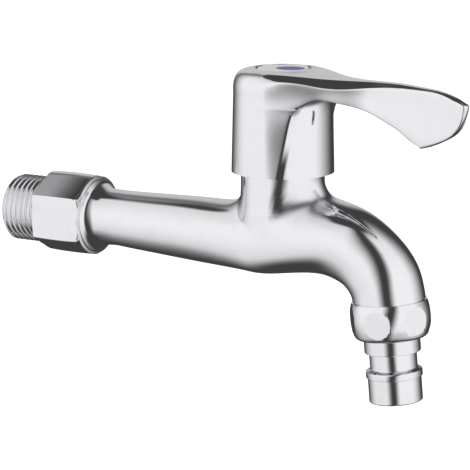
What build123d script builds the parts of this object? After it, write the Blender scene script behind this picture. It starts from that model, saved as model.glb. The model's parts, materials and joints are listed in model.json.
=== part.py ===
"""Wall-mounted garden tap with a quarter-turn ceramic headwork and a screwed hose nozzle.

Millimetres, +Z up. The origin is the centre of the inlet shoulder, on the axis of the inlet
thread. +X points away from the wall, along the arm.
"""

import math
import os

from build123d import *

os.makedirs("parts", exist_ok=True)

# Fits: each is the gap on one side
thread_fit = 0.05
turning_fit = 0.05
push_fit = 0.03
disc_fit = 0.10
seal_fit = 0.04
neighbour_gap = 0.3

# Inlet pipe thread, parallel, 55 degree flanks
inlet_thread_r = 10.4775
inlet_thread_pitch = 1.814
inlet_thread_depth = 1.162
inlet_thread_length = 13.0
inlet_crest_width = 0.27
thread_flank_angle = 27.5
inlet_lead_chamfer = 1.1
inlet_bore_r = 7.0
thread_cutter_overshoot = 0.15

# Hexagon for the spanner
hex_across_flats = 23.6
hex_length = 17.2
hex_chamfer_drop = 0.9
hex_wall_side_drop = 0.35
hex_top_round = 5.6
hex_to_arm_length = 5.1
hex_to_arm_round = 3.5

# Arm, valve chamber and spout of the casting
arm_root_r = 8.55
arm_end_r = 10.55
arm_droop = 0.9
arm_steps = 8
chamber_length = 13.0
chamber_start_half_width = 11.2
chamber_droop = 0.3
arm_bore_r = 6.0
valve_x = 83.2
chamber_half_width = 12.9
chamber_half_height = 10.9
spout_root_swell = 1.6
spout_r = 10.8
spout_reach = 35.7
spout_drop = 14.9
spout_tilt = 5.3
spout_rise = 6.5
spout_bore_r = 6.0
spout_pull_reach = 17.3
spout_pull_drop = 11.9
spout_stations = (0.25, 0.45, 0.62, 0.76, 0.88, 1.0)
neck_r = 12.8
neck_top_z = 22.0
neck_taper = 0.6
neck_blend_r = 5.0
chamber_bore_r = 10.0

# Seat and the passages below it
seat_z = 1.5
seat_web = 2.5
seat_hole_r = 4.5
pocket_r = 7.0
pocket_depth = 7.0
link_drop = 0.1
link_bore_r = 3.5
link_length = 18.0
arm_bore_stop = 13.5
outlet_port_z = 7.2
waterway_start_reach = 4.0
waterway_pull_reach = 17.8
waterway_stations = (0.0, 0.2, 0.4, 0.6, 0.8, 1.0)

# Outlet spigot, nut and hose nozzle; lengths run along the outlet axis
spigot_thread_r = 10.4775
spigot_length = 6.0
spigot_bore_r = 6.6
nut_shoulder_gap = 0.3
nut_length = 11.1
nut_sphere_r = 12.1
nut_widest_from_top = 4.8
nut_facet_r = 4.15
nut_turn_angle = 6.0
nut_lip = 1.5
nut_bottom_round = 1.6
nozzle_collar_r = 8.36
nozzle_collar_length = 4.3
nozzle_neck_r = 7.05
nozzle_neck_length = 4.8
nozzle_ring_r = 8.4
nozzle_ring_length = 1.9
nozzle_ring_bevel = 0.8
nozzle_tube_r = 7.9
nozzle_tube_length = 7.0
nozzle_bore_r = 5.7
nozzle_rim_round = 0.5
nozzle_flange_r = 10.1
nozzle_gasket_thickness = 2.0
strainer_r = 7.4
strainer_thickness = 1.2
strainer_hole_r = 0.6
strainer_hole_pitch = 1.9

# Ceramic discs and their seal
disc_r = 7.8
disc_seal_thickness = 1.8
disc_seal_inner_r = 6.3
fixed_disc_thickness = 3.2
moving_disc_thickness = 3.0
port_inner_r = 1.8
port_outer_r = 6.2
port_angle = 76.0
drive_slot_width = 3.0
drive_slot_depth = 1.5

# Headwork housing
housing_cage_r = 9.0
housing_cage_bottom_z = 2.2
housing_thread_bottom_z = 13.5
housing_window_width = 9.0
housing_window_height = 4.2
housing_collar_lap = 2.4
housing_collar_thickness = 1.0
housing_hex_across_flats = 22.0
housing_hex_height = 4.0
housing_stem_r = 8.6
housing_top_z = 33.0
housing_gasket_thickness = 0.8

# Spindle, its seals and its clip
spindle_r = 6.0
spindle_foot_r = 7.5
spindle_foot_thickness = 1.6
thrust_washer_thickness = 0.8
oring_groove_r = 4.3
oring_groove_width = 2.2
oring_lower_z = 17.0
oring_upper_z = 23.5
clip_groove_r = 5.2
clip_groove_width = 1.1
clip_thickness = 1.0
clip_r = 7.4
clip_opening_angle = 70.0
spindle_collar_height = 0.8
spline_tip_r = 4.0
spline_root_r = 3.6
spline_teeth = 20
spline_length = 8.8
spindle_tap_depth = 12.0

# Handle
skirt_bottom_z = 20.2
skirt_bottom_r = 15.37
skirt_top_r = 14.75
skirt_bore_r = 13.7
skirt_shoulder_round = 4.2
skirt_shoulder_z = 50.3
deck_z = 51.0
handle_pocket_r = 12.4
handle_pocket_top_z = 44.5
hub_r = 8.4
hub_bottom_gap = 0.3
web_thickness = 1.6
screw_pocket_r = 5.0
button_r = 7.75
button_recess_r = 8.05
button_thickness = 1.6
button_dome_round = 0.4
button_collar_r = 4.95
button_collar_wall = 0.9
button_collar_length = 2.4
mark_half_length = 4.4
mark_half_width = 3.9
mark_offset = 2.4
mark_thickness = 0.4

# Lever, as distances from the valve axis and heights, fitted on the splines a little towards -Y
lever_turn = 4.3
lever_plan = (
    (3.0, 14.0),
    (8.0, 12.8),
    (12.0, 11.5),
    (16.0, 9.9),
    (20.0, 8.4),
    (25.0, 7.0),
    (30.0, 6.0),
    (36.0, 5.1),
    (42.0, 4.45),
    (48.0, 3.8),
    (54.0, 3.1),
    (63.5, 2.3),
)
lever_top = (
    (3.0, 50.3),
    (10.0, 50.1),
    (16.2, 49.6),
    (23.0, 49.35),
    (30.3, 49.25),
    (38.8, 48.95),
    (47.0, 48.4),
    (53.0, 47.6),
    (59.2, 46.0),
)
lever_end = (
    (61.8, 43.4),
    (60.9, 41.3),
    (58.0, 37.6),
    (53.5, 34.1),
    (48.3, 31.5),
)
lever_underside = (
    (48.3, 31.5),
    (45.0, 34.2),
    (41.1, 36.8),
    (37.3, 38.9),
    (33.6, 40.8),
    (29.0, 42.0),
    (24.0, 42.0),
    (18.0, 41.4),
    (12.0, 40.4),
)
lever_heel_round = 1.8
lever_edge_round = 1.3

# Spline bush, handle screw and its washer
bush_hex_r = 6.6
screw_r = 2.0
screw_length = 10.5
screw_head_r = 3.6
screw_head_height = 2.4
screw_head_round = 0.8
screw_drive_width = 1.0
screw_drive_span = 4.2
screw_drive_depth = 1.4
lock_washer_r = 3.7
lock_washer_thickness = 0.9
lock_washer_split = 0.8


def rotate_xz(angle):
    """Unit vector in the XZ plane, tilted down from +X by the angle in degrees."""
    turn = math.radians(angle)
    return Vector(math.cos(turn), 0, -math.sin(turn))


def section_plane(x, z, slope):
    """Plane across the casting at (x, z), facing along a direction sloping down."""
    return Plane(origin=(x, 0, z), x_dir=(0, 1, 0), z_dir=rotate_xz(slope))


# Frames and derived places
valve_axis = Axis((valve_x, 0, 0), (0, 0, 1))
valve_profile = Plane(origin=(valve_x, 0, 0), x_dir=(1, 0, 0), z_dir=(0, -1, 0))
arm_profile = Plane(origin=(0, 0, 0), x_dir=(1, 0, 0), z_dir=(0, -1, 0))
outlet_down = rotate_xz(90 - spout_tilt)
outlet_up = Vector(0, 0, 0) - outlet_down
outlet_across = Vector(outlet_up.Z, 0, -outlet_up.X)
shoulder_centre = Vector(valve_x + spout_reach, 0, -spout_drop)
outlet_axis = Axis(shoulder_centre, outlet_up)
outlet_profile = Plane(origin=shoulder_centre, x_dir=outlet_across, z_dir=(0, -1, 0))


def outlet_plane(drop):
    """Plane square to the outlet axis, this far below the spout's shoulder, facing up."""
    return Plane(
        origin=shoulder_centre + outlet_down * drop,
        x_dir=outlet_across,
        z_dir=outlet_up,
    )


def valve_plane(z):
    """Horizontal plane at this height, centred on the valve axis."""
    return Plane.XY.offset(z).move(Location((valve_x, 0, 0)))


hex_half = hex_across_flats / 2
hex_corner_r = hex_half / math.cos(math.radians(30))
arm_start_x = hex_length + hex_to_arm_length
chamber_start_x = valve_x - chamber_length
link_z = seat_z - seat_web - link_drop - link_bore_r
seal_top_z = seat_z + disc_seal_thickness
fixed_disc_top_z = seal_top_z + fixed_disc_thickness
moving_disc_top_z = fixed_disc_top_z + moving_disc_thickness
foot_bottom_z = moving_disc_top_z + disc_fit
foot_top_z = foot_bottom_z + spindle_foot_thickness
thrust_top_z = foot_top_z + thrust_washer_thickness
housing_shoulder_z = thrust_top_z + turning_fit
gasket_top_z = neck_top_z + housing_gasket_thickness
collar_top_z = gasket_top_z + housing_collar_thickness
housing_hex_top_z = collar_top_z + housing_hex_height
clip_groove_z = housing_top_z + turning_fit
spline_bottom_z = clip_groove_z + clip_groove_width + spindle_collar_height
spindle_top_z = spline_bottom_z + spline_length
hub_bottom_z = spline_bottom_z + hub_bottom_gap
web_bottom_z = spindle_top_z + neighbour_gap
web_top_z = web_bottom_z + web_thickness
washer_top_z = web_top_z + lock_washer_thickness
screw_head_top_z = washer_top_z + screw_head_height
button_bottom_z = deck_z - button_thickness
nozzle_top = spigot_length + nozzle_gasket_thickness
nut_bottom = nut_shoulder_gap + nut_length
nut_lip_top = nut_bottom - nut_lip
nut_lip_bore_r = nozzle_collar_r + neighbour_gap
nut_facet_distance = math.sqrt(nut_sphere_r**2 - nut_facet_r**2)
nozzle_flange_thickness = nut_lip_top - nozzle_top
collar_end = nut_bottom + nozzle_collar_length
neck_end = collar_end + nozzle_neck_length
ring_start = neck_end + nozzle_ring_bevel
ring_end = ring_start + nozzle_ring_length
nozzle_end = ring_end + nozzle_tube_length
cage_bore_r = disc_r + disc_fit
housing_collar_r = chamber_bore_r + housing_collar_lap
spindle_bore_r = spindle_r + turning_fit
housing_thread_r = chamber_bore_r - thread_fit
oring_section_r = (spindle_bore_r - oring_groove_r) / 2 - seal_fit
oring_centre_r = (spindle_bore_r + oring_groove_r) / 2
fork_width = drive_slot_width - disc_fit
fork_bottom_z = moving_disc_top_z - drive_slot_depth + disc_fit
screw_bore_r = screw_r + push_fit

# Body casting
spout_start = Vector(valve_x, 0, 0)
spout_pull_up = Vector(valve_x + spout_pull_reach, 0, spout_rise)
spout_pull_down = shoulder_centre + outlet_up * spout_pull_drop
waterway_start = Vector(valve_x + waterway_start_reach, 0, outlet_port_z)
waterway_pull_up = Vector(valve_x + waterway_pull_reach, 0, outlet_port_z)

with BuildLine() as spout_spine:
    Bezier(spout_start, spout_pull_up, spout_pull_down, shoulder_centre)

with BuildLine() as waterway_spine:
    Bezier(waterway_start, waterway_pull_up, spout_pull_down, shoulder_centre)

# hexagon with its top and bottom corners ground round, turned down to the arm
with BuildPart() as inlet_hexagon:
    with BuildSketch(Plane.YZ) as hexagon:
        RegularPolygon(hex_corner_r, 6, rotation=30)
        fillet(hexagon.vertices().group_by(Axis.Y)[-1], hex_top_round)
        fillet(hexagon.vertices().group_by(Axis.Y)[0], hex_top_round)
    extrude(amount=arm_start_x)
    with BuildSketch(arm_profile):
        with BuildLine():
            Polyline(
                (0, 0),
                (0, hex_half),
                (hex_wall_side_drop, hex_corner_r),
                (hex_length - hex_chamfer_drop, hex_corner_r),
                (hex_length, hex_half),
                (arm_start_x, arm_root_r),
                (arm_start_x, 0),
                close=True,
            )
        make_face()
    revolve(axis=Axis.X, mode=Mode.INTERSECT)

# inlet spigot with its helical thread; the cutter starts one turn past the shoulder
thread_gap_half = (inlet_thread_pitch - inlet_crest_width) / 2
flank_slope = math.tan(math.radians(thread_flank_angle))
cutter_outer_half = thread_gap_half + thread_cutter_overshoot * flank_slope
cutter_root_half = thread_gap_half - inlet_thread_depth * flank_slope
thread_start = Vector(inlet_thread_pitch, 0, 0)
thread_turns = math.ceil(inlet_thread_length / inlet_thread_pitch) + 1

with BuildLine() as thread_helix:
    Helix(
        pitch=inlet_thread_pitch,
        height=thread_turns * inlet_thread_pitch,
        radius=inlet_thread_r,
        center=thread_start,
        direction=(-1, 0, 0),
    )

with BuildPart() as thread_cutter:
    with BuildSketch(
        Plane(
            origin=thread_helix.line @ 0,
            x_dir=(thread_helix.line @ 0) - thread_start,
            z_dir=thread_helix.line % 0,
        )
    ):
        with BuildLine():
            Polyline(
                (thread_cutter_overshoot, cutter_outer_half),
                (-inlet_thread_depth, cutter_root_half),
                (-inlet_thread_depth, -cutter_root_half),
                (thread_cutter_overshoot, -cutter_outer_half),
                close=True,
            )
        make_face()
    sweep(path=thread_helix.line, is_frenet=True)

with BuildPart() as inlet_spigot:
    with BuildSketch(arm_profile):
        with BuildLine():
            Polyline(
                (-inlet_thread_length, inlet_bore_r),
                (-inlet_thread_length, inlet_thread_r - inlet_lead_chamfer),
                (inlet_lead_chamfer - inlet_thread_length, inlet_thread_r),
                (0, inlet_thread_r),
                (0, inlet_bore_r),
                close=True,
            )
        make_face()
    revolve(axis=Axis.X)
    add(thread_cutter.part, mode=Mode.SUBTRACT)

with BuildPart() as body:
    for step in range(arm_steps):
        share = step / arm_steps
        x = arm_start_x + (chamber_start_x - arm_start_x) * share
        radius = arm_root_r + (arm_end_r - arm_root_r) * share
        with BuildSketch(section_plane(x, -arm_droop * share, 0)):
            Circle(radius)
    with BuildSketch(section_plane(chamber_start_x, -arm_droop, 0)):
        Ellipse(chamber_start_half_width, arm_end_r)
    with BuildSketch(section_plane(valve_x, -chamber_droop, 0)):
        Ellipse(chamber_half_width, chamber_half_height)
    for share in spout_stations:
        heading = spout_spine.line % share
        bulge = max(0.0, 1 - share / spout_stations[2])
        with BuildSketch(Plane(spout_spine.line @ share, x_dir=(0, 1, 0), z_dir=heading)):
            Ellipse(
                spout_r + (chamber_half_width - spout_r) * bulge,
                spout_r + spout_root_swell * bulge,
            )
    loft()

    # neck, blended into the chamber
    with BuildSketch(Plane.XY):
        with Locations((valve_x, 0)):
            Circle(neck_r)
    extrude(amount=neck_top_z, taper=neck_taper)
    meeting = [
        edge
        for edge in body.edges().filter_by(GeomType.BSPLINE)
        if edge.bounding_box().max.Z < neck_top_z
        and edge.bounding_box().min.X > valve_x - neck_r - neck_blend_r
        and edge.bounding_box().max.X < valve_x + neck_r + neck_blend_r
    ]
    fillet(meeting, neck_blend_r)
    add(inlet_hexagon.part)
    root_circle = body.edges().filter_by_position(
        Axis.X, arm_start_x - turning_fit, arm_start_x + turning_fit
    )
    fillet(root_circle, hex_to_arm_round)

    # outlet spigot
    with BuildSketch(outlet_plane(0)):
        Circle(spigot_thread_r)
    extrude(amount=-spigot_length)

    # arm bore, link, pocket, seat and chamber
    with BuildSketch(section_plane(0, 0, 0)):
        Circle(arm_bore_r)
    extrude(amount=valve_x - arm_bore_stop, mode=Mode.SUBTRACT)
    with BuildSketch(section_plane(valve_x - link_length, 0, 0)):
        with Locations((0, link_z)):
            Circle(link_bore_r)
    extrude(amount=link_length, mode=Mode.SUBTRACT)
    with BuildSketch(valve_plane(seat_z - seat_web)):
        Circle(pocket_r)
    extrude(amount=-pocket_depth, mode=Mode.SUBTRACT)
    with BuildSketch(valve_plane(seat_z)):
        Circle(seat_hole_r)
    extrude(amount=-seat_web, mode=Mode.SUBTRACT)
    with BuildSketch(valve_plane(seat_z)):
        Circle(chamber_bore_r)
    extrude(amount=neck_top_z - seat_z, mode=Mode.SUBTRACT)

    # spout waterway and outlet bore
    for share in waterway_stations:
        heading = waterway_spine.line % share
        with BuildSketch(Plane(waterway_spine.line @ share, x_dir=(0, 1, 0), z_dir=heading)):
            Circle(spout_bore_r)
    loft(mode=Mode.SUBTRACT)
    with BuildSketch(outlet_plane(0)):
        Circle(spigot_bore_r)
    extrude(amount=-spigot_length, mode=Mode.SUBTRACT)

    # inlet spigot, on the hexagon's wall-side face
    add(inlet_spigot.part)

body.part.label = "body"
export_step(body.part, "parts/body.step")


def ring(plane, inner_r, outer_r, thickness):
    """Flat ring lying on a plane and rising along its normal."""
    with BuildPart() as flat_ring:
        with BuildSketch(plane):
            Circle(outer_r)
            Circle(inner_r, mode=Mode.SUBTRACT)
        extrude(amount=thickness)
    return flat_ring.part


def sector_outline(inner_r, outer_r, angle, heading):
    """Closed outline of a ring sector centred on a heading, in degrees."""
    start = heading - angle / 2
    inner_from = Vector(inner_r, 0).rotate(Axis.Z, start)
    outer_from = Vector(outer_r, 0).rotate(Axis.Z, start)
    inner_to = Vector(inner_r, 0).rotate(Axis.Z, start + angle)
    outer_to = Vector(outer_r, 0).rotate(Axis.Z, start + angle)
    Line(inner_from, outer_from)
    CenterArc((0, 0), outer_r, start, angle)
    Line(outer_to, inner_to)
    CenterArc((0, 0), inner_r, start, angle)


def spline_outline(tip_r, root_r):
    """Closed star outline of the spindle's spline."""
    points = []
    for tooth in range(spline_teeth):
        for half, radius in ((0, tip_r), (0.5, root_r)):
            turn = 360 * (tooth + half) / spline_teeth
            points.append(Vector(radius, 0).rotate(Axis.Z, turn))
    Polyline(*points, close=True)


# Disc seal
with BuildPart() as disc_seal:
    add(ring(valve_plane(seat_z), disc_seal_inner_r, disc_r, disc_seal_thickness))

disc_seal.part.label = "disc_seal"
export_step(disc_seal.part, "parts/disc_seal.step")

# Fixed ceramic disc, its two ports towards the inlet and the outlet
with BuildPart() as fixed_disc:
    with BuildSketch(valve_plane(seal_top_z)):
        Circle(disc_r)
    extrude(amount=fixed_disc_thickness)
    for heading in (0, 180):
        with BuildSketch(valve_plane(seal_top_z)):
            with BuildLine():
                sector_outline(port_inner_r, port_outer_r, port_angle, heading)
            make_face()
        extrude(amount=fixed_disc_thickness, mode=Mode.SUBTRACT)

fixed_disc.part.label = "fixed_disc"
export_step(fixed_disc.part, "parts/fixed_disc.step")

# Moving ceramic disc, shut: its lobes cover the ports of the fixed disc
with BuildPart() as moving_disc:
    with BuildSketch(valve_plane(fixed_disc_top_z)):
        Circle(disc_r)
    extrude(amount=moving_disc_thickness)
    for heading in (90, 270):
        with BuildSketch(valve_plane(fixed_disc_top_z)):
            with BuildLine():
                sector_outline(port_inner_r, disc_r + neighbour_gap, port_angle, heading)
            make_face()
        extrude(amount=moving_disc_thickness, mode=Mode.SUBTRACT)
    with BuildSketch(valve_plane(moving_disc_top_z)):
        Rectangle(2 * disc_r, drive_slot_width)
    extrude(amount=-drive_slot_depth, mode=Mode.SUBTRACT)

moving_disc.part.label = "moving_disc"
export_step(moving_disc.part, "parts/moving_disc.step")

# Headwork housing: cage, thread, collar, hexagon and stem
with BuildPart() as headwork_housing:
    with BuildSketch(valve_plane(collar_top_z)):
        RegularPolygon(housing_hex_across_flats / 2, 6, major_radius=False)
    extrude(amount=housing_hex_height)
    with BuildSketch(valve_profile):
        with BuildLine():
            Polyline(
                (0, collar_top_z),
                (housing_collar_r, collar_top_z),
                (housing_collar_r, housing_hex_top_z - housing_collar_thickness),
                (housing_hex_across_flats / 2, housing_hex_top_z),
                (0, housing_hex_top_z),
                close=True,
            )
        make_face()
    revolve(axis=valve_axis, mode=Mode.INTERSECT)
    with BuildSketch(valve_profile):
        with BuildLine():
            Polyline(
                (cage_bore_r, housing_cage_bottom_z),
                (housing_cage_r, housing_cage_bottom_z),
                (housing_cage_r, housing_thread_bottom_z),
                (housing_thread_r, housing_thread_bottom_z),
                (housing_thread_r, gasket_top_z),
                (housing_collar_r, gasket_top_z),
                (housing_collar_r, collar_top_z),
                (housing_stem_r, collar_top_z),
                (housing_stem_r, housing_top_z),
                (0, housing_top_z),
                (0, housing_shoulder_z),
                (cage_bore_r, housing_shoulder_z),
                close=True,
            )
        make_face()
    revolve(axis=valve_axis)
    with BuildSketch(valve_plane(housing_shoulder_z)):
        Circle(spindle_bore_r)
    extrude(amount=housing_top_z - housing_shoulder_z, mode=Mode.SUBTRACT)
    with BuildSketch(valve_plane(fixed_disc_top_z)):
        Rectangle(2 * chamber_bore_r, housing_window_width)
    extrude(amount=housing_window_height, mode=Mode.SUBTRACT)

headwork_housing.part.label = "headwork_housing"
export_step(headwork_housing.part, "parts/headwork_housing.step")

# Headwork gasket, between the neck and the housing's collar
with BuildPart() as headwork_gasket:
    add(
        ring(
            valve_plane(neck_top_z),
            chamber_bore_r,
            housing_collar_r,
            housing_gasket_thickness,
        )
    )

headwork_gasket.part.label = "headwork_gasket"
export_step(headwork_gasket.part, "parts/headwork_gasket.step")

# Spindle: fork, foot, shaft with two seal grooves and a clip groove, spline and tapped hole
with BuildPart() as spindle:
    with BuildSketch(valve_plane(fork_bottom_z)):
        Circle(spindle_foot_r)
        Rectangle(2 * spindle_foot_r, fork_width, mode=Mode.INTERSECT)
    extrude(amount=foot_bottom_z - fork_bottom_z)
    with BuildSketch(valve_profile):
        with BuildLine():
            Polyline(
                (0, foot_bottom_z),
                (spindle_foot_r, foot_bottom_z),
                (spindle_foot_r, foot_top_z),
                (spindle_r, foot_top_z),
                (spindle_r, clip_groove_z),
                (clip_groove_r, clip_groove_z),
                (clip_groove_r, clip_groove_z + clip_groove_width),
                (spindle_r, clip_groove_z + clip_groove_width),
                (spindle_r, spline_bottom_z),
                (0, spline_bottom_z),
                close=True,
            )
        make_face()
    revolve(axis=valve_axis)
    for groove_z in (oring_lower_z, oring_upper_z):
        add(
            ring(
                valve_plane(groove_z - oring_groove_width / 2),
                oring_groove_r,
                spindle_bore_r,
                oring_groove_width,
            ),
            mode=Mode.SUBTRACT,
        )
    with BuildSketch(valve_plane(spline_bottom_z)):
        with BuildLine():
            spline_outline(spline_tip_r, spline_root_r)
        make_face()
    extrude(amount=spline_length)
    with BuildSketch(valve_plane(spindle_top_z)):
        Circle(screw_bore_r)
    extrude(amount=-spindle_tap_depth, mode=Mode.SUBTRACT)

spindle.part.label = "spindle"
export_step(spindle.part, "parts/spindle.step")

# Seals of the spindle
with BuildPart() as spindle_oring_lower:
    with BuildSketch(valve_profile):
        with Locations((oring_centre_r, oring_lower_z)):
            Circle(oring_section_r)
    revolve(axis=valve_axis)

spindle_oring_lower.part.label = "spindle_oring_lower"
export_step(spindle_oring_lower.part, "parts/spindle_oring_lower.step")

with BuildPart() as spindle_oring_upper:
    with BuildSketch(valve_profile):
        with Locations((oring_centre_r, oring_upper_z)):
            Circle(oring_section_r)
    revolve(axis=valve_axis)

spindle_oring_upper.part.label = "spindle_oring_upper"
export_step(spindle_oring_upper.part, "parts/spindle_oring_upper.step")

# Thrust washer, on the spindle's foot
with BuildPart() as thrust_washer:
    add(
        ring(
            valve_plane(foot_top_z),
            spindle_bore_r,
            spindle_foot_r,
            thrust_washer_thickness,
        )
    )

thrust_washer.part.label = "thrust_washer"
export_step(thrust_washer.part, "parts/thrust_washer.step")

# Open clip in the spindle's groove, its opening away from the lever
with BuildPart() as spindle_circlip:
    with BuildSketch(valve_plane(clip_groove_z)):
        with BuildLine():
            sector_outline(clip_groove_r + push_fit, clip_r, 360 - clip_opening_angle, 0)
        make_face()
    extrude(amount=clip_thickness)

spindle_circlip.part.label = "spindle_circlip"
export_step(spindle_circlip.part, "parts/spindle_circlip.step")

# Lever: its side outline and its plan, crossed
lever_root_x, lever_root_half_width = lever_plan[0]
with BuildPart() as lever:
    with BuildSketch(valve_profile.offset(-lever_root_half_width)):
        with BuildLine():
            Spline(*lever_top, *lever_end)
            Spline(*lever_underside)
            Polyline(lever_underside[-1], (lever_root_x, lever_underside[-1][1]), lever_top[0])
        make_face()
    extrude(amount=2 * lever_root_half_width)
    with BuildSketch(valve_plane(0)):
        with BuildLine():
            Spline(*lever_plan)
            mirror(about=Plane.XZ)
            Line(lever_plan[0], (lever_root_x, -lever_root_half_width))
            Line(lever_plan[-1], (lever_plan[-1][0], -lever_plan[-1][1]))
        make_face()
    extrude(amount=deck_z, mode=Mode.INTERSECT)
    fillet(lever.edges().filter_by(Axis.Y).sort_by(Axis.X)[-1], lever_heel_round)
    rims = [
        edge
        for edge in lever.edges().filter_by(Axis.Y, reverse=True)
        if edge.bounding_box().max.X > valve_x + skirt_bottom_r
    ]
    fillet(rims, lever_edge_round)

# Handle: bell skirt with the lever, hollowed for the headwork, the screw and the button
with BuildPart() as handle:
    with BuildSketch(valve_profile) as skirt_section:
        with BuildLine():
            Polyline(
                (0, skirt_bottom_z),
                (skirt_bottom_r, skirt_bottom_z),
                (skirt_top_r, skirt_shoulder_z),
                (button_recess_r, deck_z),
                (0, deck_z),
                close=True,
            )
        make_face()
        shoulder = skirt_section.vertices().sort_by_distance((skirt_top_r, skirt_shoulder_z))[0]
        fillet(shoulder, skirt_shoulder_round)
    revolve(axis=valve_axis)
    add(lever.part.rotate(valve_axis, -lever_turn))
    with BuildSketch(valve_plane(skirt_bottom_z)):
        Circle(skirt_bore_r)
    extrude(amount=hub_bottom_z - skirt_bottom_z, mode=Mode.SUBTRACT)
    add(
        ring(
            valve_plane(hub_bottom_z),
            hub_r,
            handle_pocket_r,
            handle_pocket_top_z - hub_bottom_z,
        ),
        mode=Mode.SUBTRACT,
    )
    with BuildSketch(valve_plane(hub_bottom_z)):
        RegularPolygon(bush_hex_r + push_fit, 6)
    extrude(amount=web_bottom_z - hub_bottom_z, mode=Mode.SUBTRACT)
    with BuildSketch(valve_plane(web_bottom_z)):
        Circle(screw_r + neighbour_gap)
    extrude(amount=web_thickness, mode=Mode.SUBTRACT)
    with BuildSketch(valve_plane(web_top_z)):
        Circle(screw_pocket_r)
    extrude(amount=button_bottom_z - web_top_z, mode=Mode.SUBTRACT)
    with BuildSketch(valve_plane(button_bottom_z)):
        Circle(button_recess_r)
    extrude(amount=button_thickness, mode=Mode.SUBTRACT)

handle.part.label = "handle"
export_step(handle.part, "parts/handle.step")

# Spline bush, pressed into the handle's hub
with BuildPart() as spline_bush:
    with BuildSketch(valve_plane(hub_bottom_z)):
        RegularPolygon(bush_hex_r, 6)
        with BuildLine():
            spline_outline(spline_tip_r + push_fit, spline_root_r + push_fit)
        make_face(mode=Mode.SUBTRACT)
    extrude(amount=web_bottom_z - hub_bottom_z)

spline_bush.part.label = "spline_bush"
export_step(spline_bush.part, "parts/spline_bush.step")

# Split lock washer under the screw's head
with BuildPart() as lock_washer:
    add(ring(valve_plane(web_top_z), screw_bore_r, lock_washer_r, lock_washer_thickness))
    with BuildSketch(valve_plane(web_top_z)):
        with Locations((0, lock_washer_r / 2)):
            Rectangle(lock_washer_split, lock_washer_r)
    extrude(amount=lock_washer_thickness, mode=Mode.SUBTRACT)

lock_washer.part.label = "lock_washer"
export_step(lock_washer.part, "parts/lock_washer.step")

# Handle screw with a cross recess
with BuildPart() as handle_screw:
    with BuildSketch(valve_plane(washer_top_z)):
        Circle(screw_head_r)
    extrude(amount=screw_head_height)
    fillet(handle_screw.edges().group_by(Axis.Z)[-1], screw_head_round)
    with BuildSketch(valve_plane(screw_head_top_z)):
        Rectangle(screw_drive_span, screw_drive_width)
        Rectangle(screw_drive_width, screw_drive_span)
    extrude(amount=-screw_drive_depth, mode=Mode.SUBTRACT)
    with BuildSketch(valve_plane(washer_top_z)):
        Circle(screw_r)
    extrude(amount=-screw_length)

handle_screw.part.label = "handle_screw"
export_step(handle_screw.part, "parts/handle_screw.step")

# Button in the handle's top: its collar clips into the screw's pocket
with BuildPart() as index_button:
    with BuildSketch(valve_plane(button_bottom_z)):
        Circle(button_r)
    extrude(amount=button_thickness)
    fillet(index_button.edges().group_by(Axis.Z)[-1], button_dome_round)
    add(
        ring(
            valve_plane(button_bottom_z - button_collar_length),
            button_collar_r - button_collar_wall,
            button_collar_r,
            button_collar_length,
        )
    )
    with BuildSketch(valve_plane(deck_z)):
        with Locations((mark_offset, 0)):
            Ellipse(mark_half_length + push_fit, mark_half_width + push_fit)
    extrude(amount=-mark_thickness, mode=Mode.SUBTRACT)

index_button.part.label = "index_button"
export_step(index_button.part, "parts/index_button.step")

# Coloured oval, flush in the button
with BuildPart() as index_mark:
    with BuildSketch(valve_plane(deck_z)):
        with Locations((mark_offset, 0)):
            Ellipse(mark_half_length, mark_half_width)
    extrude(amount=-mark_thickness)

index_mark.part.label = "index_mark"
export_step(index_mark.part, "parts/index_mark.step")

# Outlet nut: a turned ball shape with six flats, a threaded bore and a lip
with BuildPart() as outlet_nut:
    with BuildSketch(outlet_plane(nut_bottom)):
        RegularPolygon(nut_facet_distance, 6, major_radius=False, rotation=nut_turn_angle)
    extrude(amount=nut_length)
    with BuildSketch(outlet_profile):
        with Locations((0, -nut_shoulder_gap - nut_widest_from_top)):
            Circle(nut_sphere_r)
        with Locations((nut_sphere_r / 2, -nut_shoulder_gap - nut_length / 2)):
            Rectangle(nut_sphere_r, nut_length, mode=Mode.INTERSECT)
    revolve(axis=outlet_axis, mode=Mode.INTERSECT)
    fillet(outlet_nut.faces().sort_by(outlet_axis)[0].edges(), nut_bottom_round)
    with BuildSketch(outlet_plane(nut_lip_top)):
        Circle(spigot_thread_r + thread_fit)
    extrude(amount=nut_lip_top, mode=Mode.SUBTRACT)
    with BuildSketch(outlet_plane(nut_bottom)):
        Circle(nut_lip_bore_r)
    extrude(amount=nut_lip, mode=Mode.SUBTRACT)

outlet_nut.part.label = "outlet_nut"
export_step(outlet_nut.part, "parts/outlet_nut.step")

# Hose nozzle: flange, collar, neck, bevelled ring and tube
with BuildPart() as hose_nozzle:
    with BuildSketch(outlet_profile):
        with BuildLine():
            Polyline(
                (nozzle_bore_r, -nozzle_top),
                (nozzle_flange_r, -nozzle_top),
                (nozzle_flange_r, -nut_lip_top),
                (nozzle_collar_r, -nut_lip_top),
                (nozzle_collar_r, -collar_end),
                (nozzle_neck_r, -collar_end),
                (nozzle_neck_r, -neck_end),
                (nozzle_ring_r, -ring_start),
                (nozzle_ring_r, -ring_end),
                (nozzle_tube_r, -ring_end),
                (nozzle_tube_r, -nozzle_end),
                (nozzle_bore_r, -nozzle_end),
                close=True,
            )
        make_face()
    revolve(axis=outlet_axis)
    rims = hose_nozzle.edges().filter_by(GeomType.CIRCLE).sort_by(outlet_axis)[:2]
    fillet(rims, nozzle_rim_round)
    with BuildSketch(outlet_plane(nozzle_top)):
        Circle(strainer_r + push_fit)
    extrude(amount=-strainer_thickness, mode=Mode.SUBTRACT)

hose_nozzle.part.label = "hose_nozzle"
export_step(hose_nozzle.part, "parts/hose_nozzle.step")

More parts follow.
